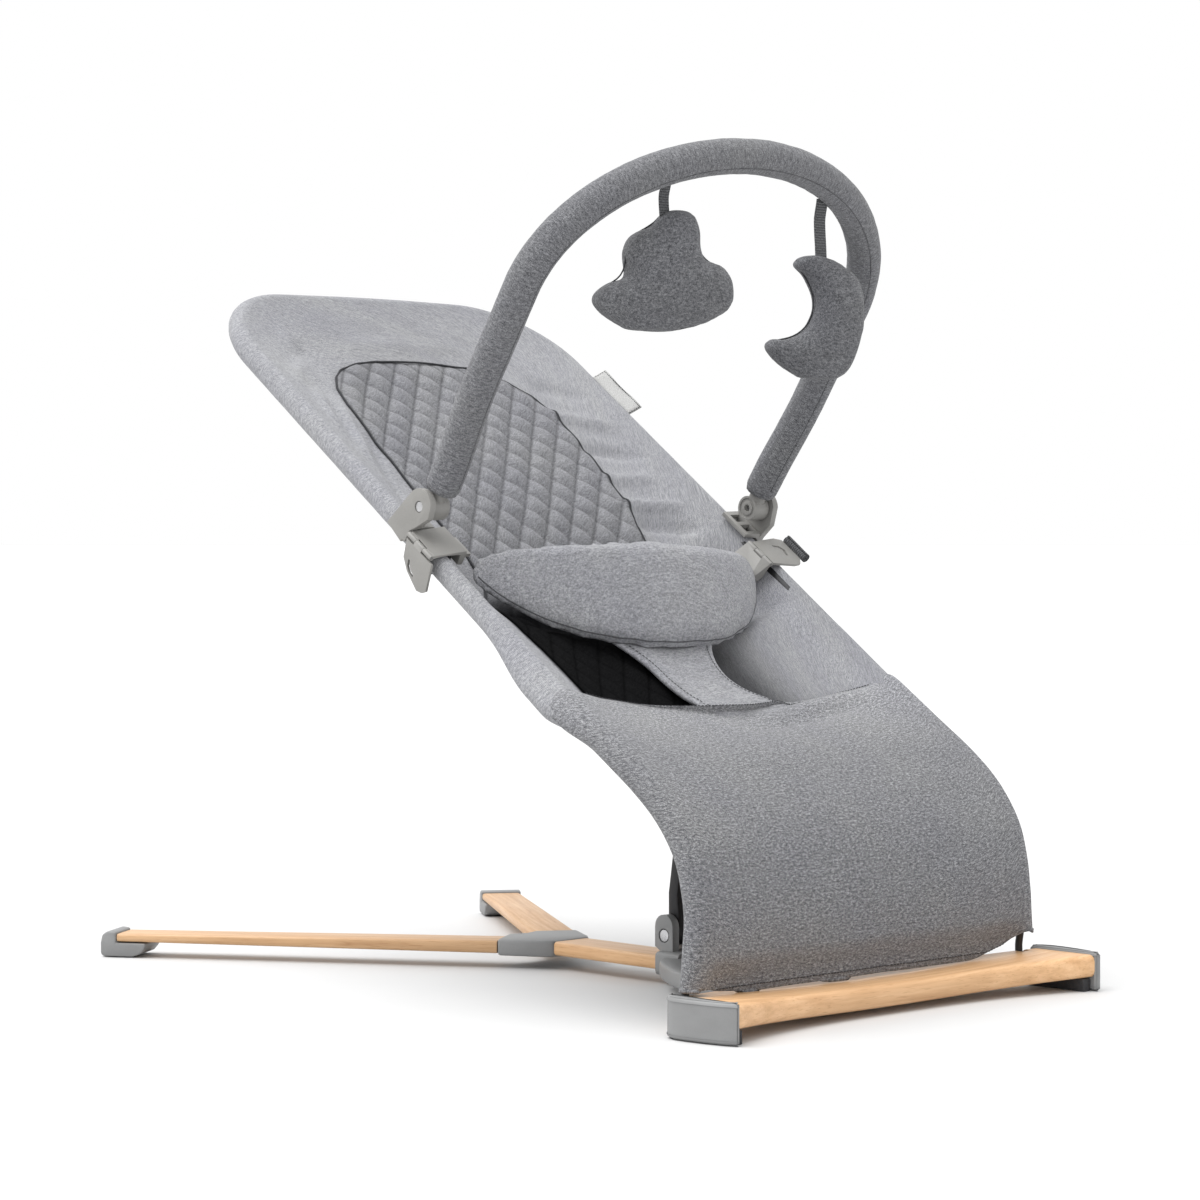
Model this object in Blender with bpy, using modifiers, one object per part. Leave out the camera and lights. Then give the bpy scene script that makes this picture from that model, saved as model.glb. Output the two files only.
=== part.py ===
"""Baby bouncer seat: fabric sling on a perimeter tube, wooden base, recline strut, folding toy bar."""

import math

import bpy
from mathutils import Matrix, Vector

MM = 0.001

# Points are measured from the front foot line. The whole part is then moved back by this much, so that
# its origin is on the floor in the middle of its footprint.
MIDDLE = 364.2

# Base: front bar, beam and rear legs.
BAR_HALF = 205.0
BAR_DEPTH = 64.0
BAR_THICK = 18.0
BAR_SWEEP = 29.0
BAR_NOSE = 24.0
BEAM_WIDTH = 40.0
BEAM_LOW, BEAM_HIGH = 12.0, 23.5
YOKE_BEAM_Y = 262.0
JUNCTION_Y = 384.0
LEG_TURN = math.radians(34.0)
LEG_WIDTH = 36.0
LEG_ROOT = (31.0, 436.0)
LEG_LENGTH = 334.0
CAP_LENGTH = 13.0

# Seat: the pin that its rods turn on, and the origin of the inclined rails' own axes.
SEAT_PIVOT = (61.0, 19.0)
ROD_X = 189.5
RAIL_ORIGIN = (57.0, 19.0)
RAIL_X = 181.0
RAIL_TILT = math.radians(35.9)
RAIL_N = 91.5
RAIL_TOP_T = 790.0
CORNER_R = 85.0
TUBE_R = 6.5
SLEEVE_R = 9.3
ROD_R = 3.0
RAIL_LOW = [(57, 60.3), (57, 80), (60, 103), (68, 129), (86, 155), (112, 178), (150, 204), (191, 232)]

# Recline strut and the track that its head runs in.
HUB = (261.0, 39.0)
STRUT_TOP = (238.0, 200.0)
TRACK_LOW, TRACK_HIGH = 246.0, 338.0
TRACK_N = 40.5

# Toy bar.
TOY_PIVOT = (349.0, 383.0)
TOY_TILT = math.radians(33.0)
TOY_HALF = 187.0
TOY_RISE = 326.0
TOY_TUBE_R = 7.5
TOY_SLEEVE_R = 14.0

MATERIALS = {
    "oak": ((0.74, 0.53, 0.33, 1), 0.5, 0.0),
    "grey_plastic": ((0.42, 0.43, 0.44, 1), 0.45, 0.0),
    "warm_plastic": ((0.55, 0.54, 0.51, 1), 0.5, 0.0),
    "rubber": ((0.04, 0.04, 0.045, 1), 0.8, 0.0),
    "black_steel": ((0.02, 0.02, 0.022, 1), 0.4, 0.8),
    "steel": ((0.6, 0.6, 0.6, 1), 0.3, 1.0),
    "fabric": ((0.38, 0.38, 0.4, 1), 0.9, 0.0),
    "plush": ((0.25, 0.25, 0.27, 1), 0.95, 0.0),
    "webbing": ((0.3, 0.3, 0.31, 1), 0.85, 0.0),
}

for old in list(bpy.data.objects):
    bpy.data.objects.remove(old, do_unlink=True)

PART = bpy.data.collections.new("baby_bouncer")
bpy.context.scene.collection.children.link(PART)
CUTTERS = bpy.data.collections.new("cutters")
bpy.context.scene.collection.children.link(CUTTERS)
CUTTERS.hide_render = True


# ---------------------------------------------------------------- helpers
def surface(slot, name):
    """Each sub-part gets a material of its own, so that its look can change alone."""
    colour, rough, metal = MATERIALS[slot]
    mat = bpy.data.materials.new(name + "_" + slot)
    mat.use_nodes = True
    shader = mat.node_tree.nodes["Principled BSDF"]
    shader.inputs["Base Color"].default_value = colour
    shader.inputs["Roughness"].default_value = rough
    shader.inputs["Metallic"].default_value = metal
    return mat


def solid(name, points, faces, slot=None, origin=None, soften=0.0):
    """A mesh object from points in mm. Without a slot it is a cutter."""
    base = Vector(origin) if origin else Vector((0, 0, 0))
    mesh = bpy.data.meshes.new(name)
    mesh.from_pydata([tuple((Vector(p) - base) * MM) for p in points], [], faces)
    mesh.validate()
    obj = bpy.data.objects.new(name, mesh)
    obj.location = (base - Vector((0, MIDDLE, 0))) * MM
    if slot:
        PART.objects.link(obj)
        mesh.materials.append(surface(slot, name))
    else:
        CUTTERS.objects.link(obj)
        obj.hide_render = True
        obj.display_type = "WIRE"
    if soften:
        bevel = obj.modifiers.new("soften", "BEVEL")
        bevel.width = soften * MM
        bevel.segments = 2
        bevel.limit_method = "ANGLE"
        bevel.angle_limit = math.radians(35)
    return obj


def ring_faces(rings, size):
    faces = []
    for i in range(rings - 1):
        for j in range(size):
            k = (j + 1) % size
            faces.append((i * size + j, i * size + k, (i + 1) * size + k, (i + 1) * size + j))
    return faces


def loft(rings):
    """Points and faces of closed rings joined in order, with both ends capped."""
    size = len(rings[0])
    faces = ring_faces(len(rings), size)
    faces.append(tuple(reversed(range(size))))
    last = (len(rings) - 1) * size
    faces.append(tuple(range(last, last + size)))
    return [p for ring in rings for p in ring], faces


def outward(points, faces):
    """The faces, turned round when they enclose a negative volume."""
    total = 0.0
    for face in faces:
        a = Vector(points[face[0]])
        for i in range(1, len(face) - 1):
            total += a.dot(Vector(points[face[i]]).cross(Vector(points[face[i + 1]])))
    return faces if total > 0 else [tuple(reversed(face)) for face in faces]


def lofted(name, rings, slot=None, origin=None, soften=0.0):
    points, faces = loft(rings)
    return solid(name, points, outward(points, faces), slot, origin, soften)


def circle(radius, sides):
    step = 2 * math.pi / sides
    return [(radius * math.cos(i * step), radius * math.sin(i * step)) for i in range(sides)]


def rounded(half_a, half_b, radius, steps=3):
    """A rectangle with round corners, as offsets from its centre."""
    out = []
    for sa, sb, start in ((1, 1, 0), (-1, 1, 90), (-1, -1, 180), (1, -1, 270)):
        for i in range(steps + 1):
            turn = math.radians(start + 90 * i / steps)
            out.append(
                (
                    sa * (half_a - radius) + radius * math.cos(turn),
                    sb * (half_b - radius) + radius * math.sin(turn),
                )
            )
    return out


def frames(path, side):
    """Tangent, side and normal at each point of a path, carried along without twist."""
    path = [Vector(p) for p in path]
    out = []
    across = Vector(side)
    for i, here in enumerate(path):
        ahead = path[min(i + 1, len(path) - 1)]
        behind = path[max(i - 1, 0)]
        tangent = (ahead - behind).normalized()
        across = (across - tangent * across.dot(tangent)).normalized()
        out.append((here, tangent, across, tangent.cross(across)))
    return out


def sweep_rings(path, section, side=(1, 0, 0)):
    return [
        [here + across * a + normal * b for a, b in section]
        for here, _, across, normal in frames(path, side)
    ]


def swept(name, path, section, slot=None, side=(1, 0, 0), origin=None, soften=0.0):
    return lofted(name, sweep_rings(path, section, side), slot, origin, soften)


def hollow(name, path, outer, inner, slot, side=(1, 0, 0), origin=None):
    """A sleeve: a tube of fabric with open ends."""
    out = sweep_rings(path, outer, side)
    into = sweep_rings(path, inner, side)
    size = len(outer)
    points = [p for ring in out for p in ring] + [p for ring in into for p in ring]
    shift = len(path) * size
    faces = ring_faces(len(path), size)
    faces += [tuple(shift + k for k in reversed(face)) for face in ring_faces(len(path), size)]
    for row, flip in ((0, True), (len(path) - 1, False)):
        for j in range(size):
            k = (j + 1) % size
            quad = (row * size + j, row * size + k, shift + row * size + k, shift + row * size + j)
            faces.append(tuple(reversed(quad)) if flip else quad)
    return solid(name, points, outward(points, faces), slot, origin)


def slab(name, top, under, slot, origin=None):
    """A closed sheet between two grids of points with the same rows and columns."""
    rows, cols = len(top), len(top[0])
    points = [p for row in top for p in row] + [p for row in under for p in row]
    shift = rows * cols
    faces = []
    for i in range(rows - 1):
        for j in range(cols - 1):
            quad = (i * cols + j, i * cols + j + 1, (i + 1) * cols + j + 1, (i + 1) * cols + j)
            faces.append(quad)
            faces.append(tuple(shift + k for k in reversed(quad)))
    rim = [j for j in range(cols)]
    rim += [i * cols + cols - 1 for i in range(1, rows)]
    rim += [(rows - 1) * cols + j for j in range(cols - 2, -1, -1)]
    rim += [i * cols for i in range(rows - 2, 0, -1)]
    for a, b in zip(rim, rim[1:] + rim[:1]):
        faces.append((b, a, shift + a, shift + b))
    return solid(name, points, outward(points, faces), slot, origin)


def prism(name, outline, axis, low, high, slot=None, origin=None, soften=0.0, place=None):
    """An outline drawn in the plane across an axis and pulled along it from low to high."""
    order = {"X": lambda a, b, h: (h, a, b), "Y": lambda a, b, h: (a, h, b), "Z": lambda a, b, h: (a, b, h)}
    rings = [[order[axis](a, b, h) for a, b in outline] for h in (low, high)]
    if place:
        rings = [[tuple(place @ Vector(p)) for p in ring] for ring in rings]
    return lofted(name, rings, slot, origin, soften)


def block(name, low, high, slot=None, origin=None, soften=0.0, place=None):
    outline = [(low[0], low[1]), (high[0], low[1]), (high[0], high[1]), (low[0], high[1])]
    return prism(name, outline, "Z", low[2], high[2], slot, origin, soften, place)


def rod(name, start, end, radius, slot=None, origin=None, sides=24):
    start, end = Vector(start), Vector(end)
    along = (end - start).normalized()
    side = Vector((0, 0, 1)) if abs(along.z) < 0.9 else Vector((1, 0, 0))
    return swept(name, [start, end], circle(radius, sides), slot, side, origin)


def boolean(obj, other, operation):
    mod = obj.modifiers.new(operation.lower(), "BOOLEAN")
    mod.operation = operation
    mod.solver = "EXACT"
    mod.object = other
    return obj


def cut(obj, *others):
    for other in others:
        boolean(obj, other, "DIFFERENCE")
    return obj


def join(obj, *others):
    for other in others:
        boolean(obj, other, "UNION")
    return obj


def smooth_path(points, per=4):
    """A curve through the points, sampled between them."""
    pts = [Vector(p) for p in points]
    ext = [pts[0] * 2 - pts[1]] + pts + [pts[-1] * 2 - pts[-2]]
    out = []
    for i in range(1, len(ext) - 2):
        a, b, c, d = ext[i - 1], ext[i], ext[i + 1], ext[i + 2]
        for k in range(per):
            t = k / per
            out.append(
                0.5 * (2 * b + (c - a) * t + (2 * a - 5 * b + 4 * c - d) * t * t
                       + (3 * b - a - 3 * c + d) * t ** 3)
            )
    out.append(pts[-1])
    return out


def arc_points(centre, radius, start, end, steps):
    turns = [math.radians(start + (end - start) * i / steps) for i in range(steps + 1)]
    return [(centre[0] + radius * math.cos(a), centre[1] + radius * math.sin(a)) for a in turns]


def seat_point(x, t, n):
    """A point given along the rails (t) and off their plane (n), from the rails' origin."""
    y = RAIL_ORIGIN[0] + t * math.cos(RAIL_TILT) - n * math.sin(RAIL_TILT)
    z = RAIL_ORIGIN[1] + t * math.sin(RAIL_TILT) + n * math.cos(RAIL_TILT)
    return (x, y, z)


def sides():
    return (("left", -1), ("right", 1))


# ---------------------------------------------------------------- base
def bar_front(x):
    return BAR_NOSE - BAR_SWEEP * (abs(x) / BAR_HALF) ** 3


def bar_low(x):
    return 5.2 + 5.7 * (x / BAR_HALF) ** 2


def front_crossbar():
    rings = []
    reach = BAR_HALF - 2.0
    for i in range(29):
        x = -reach + 2 * reach * i / 28
        middle_y = bar_front(x) + BAR_DEPTH / 2
        middle_z = bar_low(x) + BAR_THICK / 2
        section = rounded(BAR_DEPTH / 2, BAR_THICK / 2, 5)
        rings.append([(x, middle_y + a, middle_z + b) for a, b in section])
    bar = lofted("front_crossbar", rings, "oak")
    for name, side in sides():
        low, high = sorted((side * 190, side * 209.5))
        join(bar, block("bar_tenon_" + name, (low, 8, 15), (high, 46, 25)))
        x = side * ROD_X
        pocket = block("rod_pocket_" + name, (x - 4.9, 54, 12.8), (x + 4.9, 90, 40))
        pin_hole = rod("rod_pin_hole_" + name, (x - 10.5, *SEAT_PIVOT), (x + 10.5, *SEAT_PIVOT), 1.56)
        low, high = sorted((side * 77.7, side * 94.3))
        mortise = block("yoke_mortise_" + name, (low, 72, 12.2), (high, 110, 19.8))
        cut(bar, pocket, pin_hole, mortise)
    return bar


def front_cap(name, side):
    outline = [(203.3, -6.5), (206, -6.5), (210.5, 4), (214, 20), (216, 36), (216, 48), (213.5, 56), (209, 61)]
    outline = [(side * a, b) for a, b in outline + [(203.3, 62)]]
    cap = prism("front_cap_" + name, outline, "Z", 0.6, 30.6, "grey_plastic", soften=2.6)
    low, high = sorted((side * 190, side * 209.8))
    cut(cap, block("cap_socket_" + name, (low, 7.6, 14.6), (high, 46.4, 25.4)))
    low, high = sorted((side * 194, side * 203))
    block("front_foot_" + name, (low, 0, 0), (high, 56, 10.0), "rubber", soften=0.6)
    return cap


def front_yoke():
    socket = rounded(23, 9.5, 4)
    rings = [[(a, y, 17.5 + b) for a, b in socket] for y in (236, YOKE_BEAM_Y - 0.3)]
    yoke = lofted("front_yoke", rings, "grey_plastic")
    for name, side in sides():
        path = [(10, 246), (24, 241), (40, 224), (58, 197), (72, 172), (81, 146), (86, 118), (87, 92)]
        path = smooth_path([(side * a, b, 16.5) for a, b in path], 2)
        arm = sweep_rings(path, rounded(10, 7, 3, 2))
        join(yoke, lofted("yoke_arm_" + name, arm))
        end = [(side * a, b) for a, b in ((71, 88.3), (101, 86.6), (99, 98), (73, 99))]
        tongue = [(side * a, b) for a, b in ((78, 72.5), (94, 72.5), (94, 95), (78, 95))]
        join(yoke, prism("yoke_end_" + name, end, "Z", 8.5, 24))
        join(yoke, prism("yoke_tongue_" + name, tongue, "Z", 12.5, 19.5))
        low, high = sorted((side * 6.6, side * 14))
        lug = [(251, 20)] + arc_points((261, 46), 10, 180, 0, 10) + [(271, 30), (261.7, 24.2), (261.7, 20)]
        join(yoke, prism("yoke_lug_" + name, lug, "X", low, high))
    cut(yoke, rod("yoke_bolt_hole", (-20, *HUB), (20, *HUB), 3.08))
    for name, side in sides():
        cut(yoke, rod("yoke_counterbore_" + name, (side * 11.2, *HUB), (side * 20, *HUB), 5.8))
    cut(yoke, block("yoke_socket", (-16.4, 246, 14.1), (16.4, 280, 21.9)))
    return yoke


def centre_beam():
    low, high = YOKE_BEAM_Y, JUNCTION_Y
    section = rounded(BEAM_WIDTH / 2, (BEAM_HIGH - BEAM_LOW) / 2, 3)
    middle = (BEAM_HIGH + BEAM_LOW) / 2
    rings = [[(a, y, middle + b) for a, b in section] for y in (low, high)]
    beam = lofted("centre_beam", rings, "oak")
    return join(beam, block("beam_tenon", (-16, low - 15, 14.5), (16, high + 15, 21.5)))


def leg_place(side):
    """From a leg's own axes (across, along, up) to the base."""
    turn = Matrix.Rotation(-side * LEG_TURN, 4, "Z")
    return Matrix.Translation((side * LEG_ROOT[0], LEG_ROOT[1], 0)) @ turn


def rear_junction():
    outline = [(-20, 384.3), (20, 384.3), (27, 392)]
    for side, order in ((1, 1), (-1, -1)):
        place = leg_place(side)
        ends = [place @ Vector((side * 18.5, -0.3, 0)), place @ Vector((-side * 18.5, -0.3, 0))]
        outline += [(p.x, p.y) for p in ends][::order]
        if side == 1:
            outline.append((0, 441))
    outline.append((-27, 392))
    body = prism("rear_junction", outline, "Z", 10.5, 24.5, "grey_plastic", soften=2.5)
    cut(body, block("junction_socket", (-16.4, 380, 14.1), (16.4, 399.5, 21.9)))
    for name, side in sides():
        socket = block("junction_leg_socket_" + name, (-13.4, -16, 14.1), (13.4, 4, 19.9), place=leg_place(side))
        cut(body, socket)
    return body


def rear_leg(name, side):
    place = leg_place(side)
    rings = []
    for i in range(7):
        along = LEG_LENGTH * i / 6
        thick = 10.5 - 4.0 * i / 6
        middle = 17.5 - 1.0 * i / 6
        ring = rounded(LEG_WIDTH / 2, thick / 2, 2.2, 2)
        rings.append([place @ Vector((a, along, middle + b)) for a, b in ring])
    leg = lofted("rear_leg_" + name, rings, "oak")
    low = block("leg_root_tenon_" + name, (-13, -15, 14.5), (13, 10, 19.5), place=place)
    high = block("leg_end_tenon_" + name, (-12, LEG_LENGTH - 8, 14.6), (12, LEG_LENGTH + 8, 18.4), place=place)
    return join(leg, low, high)


def rear_cap(name, side):
    place = leg_place(side) @ Matrix.Translation((0, LEG_LENGTH, 0))
    profile = [(0.6, 12.2), (0.6, 21.3), (8, 22.3), (13, 19), (14.5, 12), (14.5, 3), (12.5, 0.6), (-14, 0.6)]
    profile += [(-21, 3), (-25, 7.5), (-26, 12.2)]
    cap = prism("rear_cap_" + name, profile, "X", -19, 19, "grey_plastic", soften=2.0, place=place)
    cut(cap, block("rear_socket_" + name, (-12.4, -1, 14.2), (12.4, 8.5, 18.8), place=place))
    cut(cap, block("rear_foot_pocket_" + name, (-12.3, -12.3, -2), (12.3, 9.3, 3.0), place=place))
    block("rear_foot_" + name, (-12, -12, 0), (12, 9, 2.7), "rubber", soften=0.5, place=place)
    return cap


def fasteners():
    """The strut's bolt, and the pins that the seat's spring rods turn on."""
    shank = rod("strut_bolt", (-13, *HUB), (13, *HUB), 3.0, "steel")
    for name, side in sides():
        low, high = sorted((side * 11.5, side * 13.6))
        join(shank, rod("bolt_head_" + name, (low, *HUB), (high, *HUB), 4.8))
        x = side * ROD_X
        rod("rod_pin_" + name, (x - 9.8, *SEAT_PIVOT), (x + 9.8, *SEAT_PIVOT), 1.5, "steel")


# ---------------------------------------------------------------- recline strut
def strut_place():
    """From the strut's own axes (across, along, forward) to the frame."""
    lean = math.atan2(STRUT_TOP[0] - HUB[0], STRUT_TOP[1] - HUB[1])
    return Matrix.Translation((0, *HUB)) @ Matrix.Rotation(-lean, 4, "X")


def recline_strut():
    place = strut_place()
    length = math.hypot(STRUT_TOP[0] - HUB[0], STRUT_TOP[1] - HUB[1])
    rings = []
    for along, wide, deep in ((0, 5.6, 8), (16, 5.6, 8), (34, 9, 7), (length - 24, 9, 6), (length - 9, 7.5, 5)):
        rings.append([place @ Vector((a, b, along)) for a, b in rounded(wide, deep / 1.3, 2, 2)])
    strut = lofted("recline_strut", rings, "black_steel", origin=(0, *HUB))
    join(strut, rod("strut_eye", (-5.8, *HUB), (5.8, *HUB), 8.6))
    cut(strut, rod("strut_eye_hole", (-9, *HUB), (9, *HUB), 3.08))
    head = rod("strut_head", (-19, *STRUT_TOP), (19, *STRUT_TOP), 4.0, "black_steel")
    join(head, rod("strut_head_boss", (-9, *STRUT_TOP), (9, *STRUT_TOP), 7.0))
    return cut(strut, rod("strut_head_room", (-12, *STRUT_TOP), (12, *STRUT_TOP), 7.4))


# ---------------------------------------------------------------- seat frame
def rail_path(offset=0.0):
    """The perimeter tube's centre line, from the left lower end over the top to the right one."""
    low = [Vector((0, y, z)) for y, z in RAIL_LOW]
    start = [(RAIL_X + 5 * max(0, 1 - i / 3) - offset, p.y, p.z) for i, p in enumerate(low)]
    line = smooth_path(start, 2)
    bend = RAIL_TOP_T - CORNER_R
    up_slope = Vector(seat_point(0, 1, 0)) - Vector(seat_point(0, 0, 0))
    first = (Vector((0, 191, 232)) - Vector((0, *RAIL_ORIGIN))).dot(up_slope)
    for i in range(1, 8):
        line.append(Vector(seat_point(RAIL_X - offset, first + (bend - first) * i / 7, RAIL_N)))
    for x, t in arc_points((RAIL_X - CORNER_R, bend), CORNER_R - offset, 0, 90, 8)[1:]:
        line.append(Vector(seat_point(x, t, RAIL_N)))
    line.append(Vector(seat_point(RAIL_X - CORNER_R - 48, RAIL_TOP_T + 4 - offset, RAIL_N)))
    line.append(Vector(seat_point(0, RAIL_TOP_T + 5 - offset, RAIL_N)))
    mirrored = [Vector((-p.x, p.y, p.z)) for p in line]
    return mirrored + list(reversed(line))[1:]


def seat_frame():
    swept("seat_tube", rail_path(), circle(TUBE_R, 12), "black_steel")
    sleeve = hollow("edge_sleeve", rail_path(), circle(SLEEVE_R, 12), circle(TUBE_R + 0.4, 12), "fabric")
    for name, side in sides():
        x = side * ROD_X
        line = [(x, *SEAT_PIVOT), (x, 62, 32), (side * 188.5, 59.5, 44), (side * 186.3, 57, 59.8)]
        round_rod = circle(ROD_R, 16)
        spring = swept("spring_rod_" + name, smooth_path(line, 3), round_rod, "steel", origin=(x, *SEAT_PIVOT))
        join(spring, rod("rod_eye_" + name, (x - 4.5, *SEAT_PIVOT), (x + 4.5, *SEAT_PIVOT), 5.2))
        cut(spring, rod("rod_eye_hole_" + name, (x - 9, *SEAT_PIVOT), (x + 9, *SEAT_PIVOT), 1.56))
    return sleeve


def recline_track(sleeve):
    """A channel under the seat with a slot in each wall for the strut's cross head, on two bowed tubes."""
    low, high = TRACK_LOW - 12, TRACK_HIGH + 12
    outline = [(-15.5, 26), (15.5, 26), (15.5, 60), (-15.5, 60)]
    rings = [[seat_point(x, t, n) for x, n in outline] for t in (low, high)]
    track = lofted("recline_track", rings, "grey_plastic")
    inside = [(-12.2, 10), (12.2, 10), (12.2, 56.5), (-12.2, 56.5)]
    cut(track, lofted("track_room", [[seat_point(x, t, n) for x, n in inside] for t in (low - 9, high + 9)]))
    slot = arc_points((TRACK_LOW, TRACK_N), 7, 90, 270, 8) + arc_points((TRACK_HIGH, TRACK_N), 7, -90, 90, 8)
    cut(track, lofted("track_slot", [[seat_point(x, t, n) for t, n in slot] for x in (-30, 30)]))
    for name, t in (("front", 262.0), ("rear", 325.0)):
        shape = [(173.6, 88), (167, 79.5), (156, 74), (136, 68.5), (100, 65.4), (50, 64.8)]
        half = [Vector(seat_point(x, t, n)) for x, n in shape]
        line = [Vector((-p.x, p.y, p.z)) for p in half] + list(reversed(half))
        side = Vector(seat_point(0, 1, 0)) - Vector(seat_point(0, 0, 0))
        swept("track_bow_" + name, line, circle(4.5, 12), "black_steel", side)
        for word, hand in sides():
            reach = [Vector(seat_point(hand * x, t, n)) for x, n in ((167, 79.5), (173.6, 88), (177, 92.3))]
            cut(sleeve, swept("bow_room_" + name + word, reach, circle(5.0, 12), side=side))
    return track


# ---------------------------------------------------------------- seat fabric
def back_half(t):
    """Half the width of the fabric between the rails, which narrows where the buckles sit."""
    bend = RAIL_TOP_T - CORNER_R
    if 384 < t < 475:
        return RAIL_X - 26.0
    if t < 353:
        return RAIL_X - 16.5
    if t <= bend:
        return RAIL_X - 11.5
    return RAIL_X - CORNER_R + math.sqrt(max(0.0, (CORNER_R - 11.5) ** 2 - (t - bend) ** 2))


def sagging(x, half, depth, power=2):
    return depth * max(0.0, 1 - abs(x / half) ** power)


def seat_depth(t):
    """How far the middle of the fabric hangs below the rails: deepest where the child sits."""
    marks = ((215, 17), (340, 17), (353, 25), (368, 36), (388, 42), (412, 40), (450, 28), (500, 17), (560, 11))
    marks += ((620, 9),)
    for (t0, d0), (t1, d1) in zip(marks, marks[1:]):
        if t <= t1:
            return d0 + (d1 - d0) * max(0.0, (t - t0) / (t1 - t0))
    return 9.0


def sheet_rows(stations, half_of, thick, lift=0.0, columns=11):
    top, under = [], []
    for t in stations:
        half = half_of(t)
        power = 5 if 340 < t < 480 else 2.4
        line = [-half + 2 * half * j / (columns - 1) for j in range(columns)]
        drop = [sagging(x, 169.5, seat_depth(t), power) for x in line]
        top.append([seat_point(x, t, RAIL_N + lift - d) for x, d in zip(line, drop)])
        under.append([seat_point(x, t, RAIL_N + lift - thick - d) for x, d in zip(line, drop)])
    return top, under


def back_fabric():
    stations = [215, 260, 300, 340, 352.9, 353.1, 368, 383.9, 384.1, 410, 450, 474.9, 475.1, 500, 530, 560]
    stations += [600, 650, 690, 715, 740, 760, 775]
    top, under = sheet_rows(stations, back_half, 4.0)
    slab("back_panel", top, under, "fabric")

    def insert_half(t):
        if t < 690:
            return 118.0
        return 86 + math.sqrt(max(0.0, 32.0 ** 2 - (t - 690) ** 2))

    stations = [400, 450, 500, 530, 560, 600, 650, 690, 703, 713, 720]
    top, under = sheet_rows(stations, insert_half, 6.5, 9.5, 9)
    slab("quilted_insert", top, under, "fabric")


def profile_slab(name, front, thick, half, slot, bulge=0.0, columns=7):
    """A sheet whose profile runs in the Y-Z plane and whose columns run across."""
    path = smooth_path([(0, y, z) for y, z in front], 2)
    top, under = [], []
    for here, _, _, normal in frames(path, (1, 0, 0)):
        line = [-half + 2 * half * j / (columns - 1) for j in range(columns)]
        swell = [sagging(x, half, bulge) for x in line]
        top.append([(x, (here + normal * s).y, (here + normal * s).z) for x, s in zip(line, swell)])
        under.append(
            [(x, (here + normal * (s - thick)).y, (here + normal * (s - thick)).z) for x, s in zip(line, swell)]
        )
    return slab(name, top, under, slot)


def front_fabric():
    apron = [(55, 35), (49, 60), (47, 90), (54, 122), (72, 152), (98, 178), (126, 204), (150, 232)]
    profile_slab("front_apron", apron, 3.0, 168.0, "fabric", -3.0)
    lining = [(78, 92), (84, 118), (98, 142), (122, 164), (152, 185), (176, 200)]
    profile_slab("front_lining", lining, 3.0, 160.0, "fabric", 0.0)


def lap_pad():
    """The padded belt over the lap and the stem that runs down from it to the front panel."""
    lean = Matrix.Rotation(math.radians(-18), 3, "X")
    rings = []
    for i in range(13):
        x = -150 + 300 * i / 12
        reach = abs(x) / 150
        centre = Vector((x, 262 + 66 * reach ** 2, 313 + 17 * reach ** 3))
        high = 37 - 21 * reach ** 3
        thick = 11 - 6 * reach ** 4
        rings.append([centre + lean @ Vector((0, b * thick, a * high)) for a, b in circle(1, 14)])
    lofted("waist_pad", rings, "fabric")
    line = [(0, 262, 269), (0, 245, 255), (0, 226, 241.5), (0, 205, 229), (0, 182, 217), (0, 160, 206)]
    path = smooth_path(line, 2)
    stem = []
    for i, (here, _, across, normal) in enumerate(frames(path, (1, 0, 0))):
        share = i / (len(path) - 1)
        wide = 44 - 24 * math.sin(share * math.pi / 2)
        stem.append([here + across * a + normal * b for a, b in rounded(wide, 4, 3, 2)])
    lofted("crotch_stem", stem, "fabric")


def blank_tag():
    rings = []
    for t in (640, 698):
        rings.append([seat_point(x, t, n) for x, n in ((190.8, 83), (192.0, 83), (192.0, 95), (190.8, 95))])
    lofted("blank_tag", rings, "webbing")


# ---------------------------------------------------------------- toy bar and its brackets
def toy_point(x, h, off=0.0):
    """A point given by its height up the toy bar's leaning plane and its distance off that plane."""
    y = TOY_PIVOT[0] - h * math.sin(TOY_TILT) + off * math.cos(TOY_TILT)
    z = TOY_PIVOT[1] + h * math.cos(TOY_TILT) + off * math.sin(TOY_TILT)
    return (x, y, z)


def toy_path():
    half = [(180.3, 22.2), (181.5, 45), (185, 80), (187, 120), (187, 160)]
    turns = [math.pi * i / 20 for i in range(11)]
    arch = [(TOY_HALF * math.cos(a), 198 + (TOY_RISE - 198) * math.sin(a)) for a in turns]
    half += arch
    left = [toy_point(-x, h) for x, h in half]
    right = [toy_point(x, h) for x, h in reversed(half[:-1])]
    return [Vector(p) for p in left + right]


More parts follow.
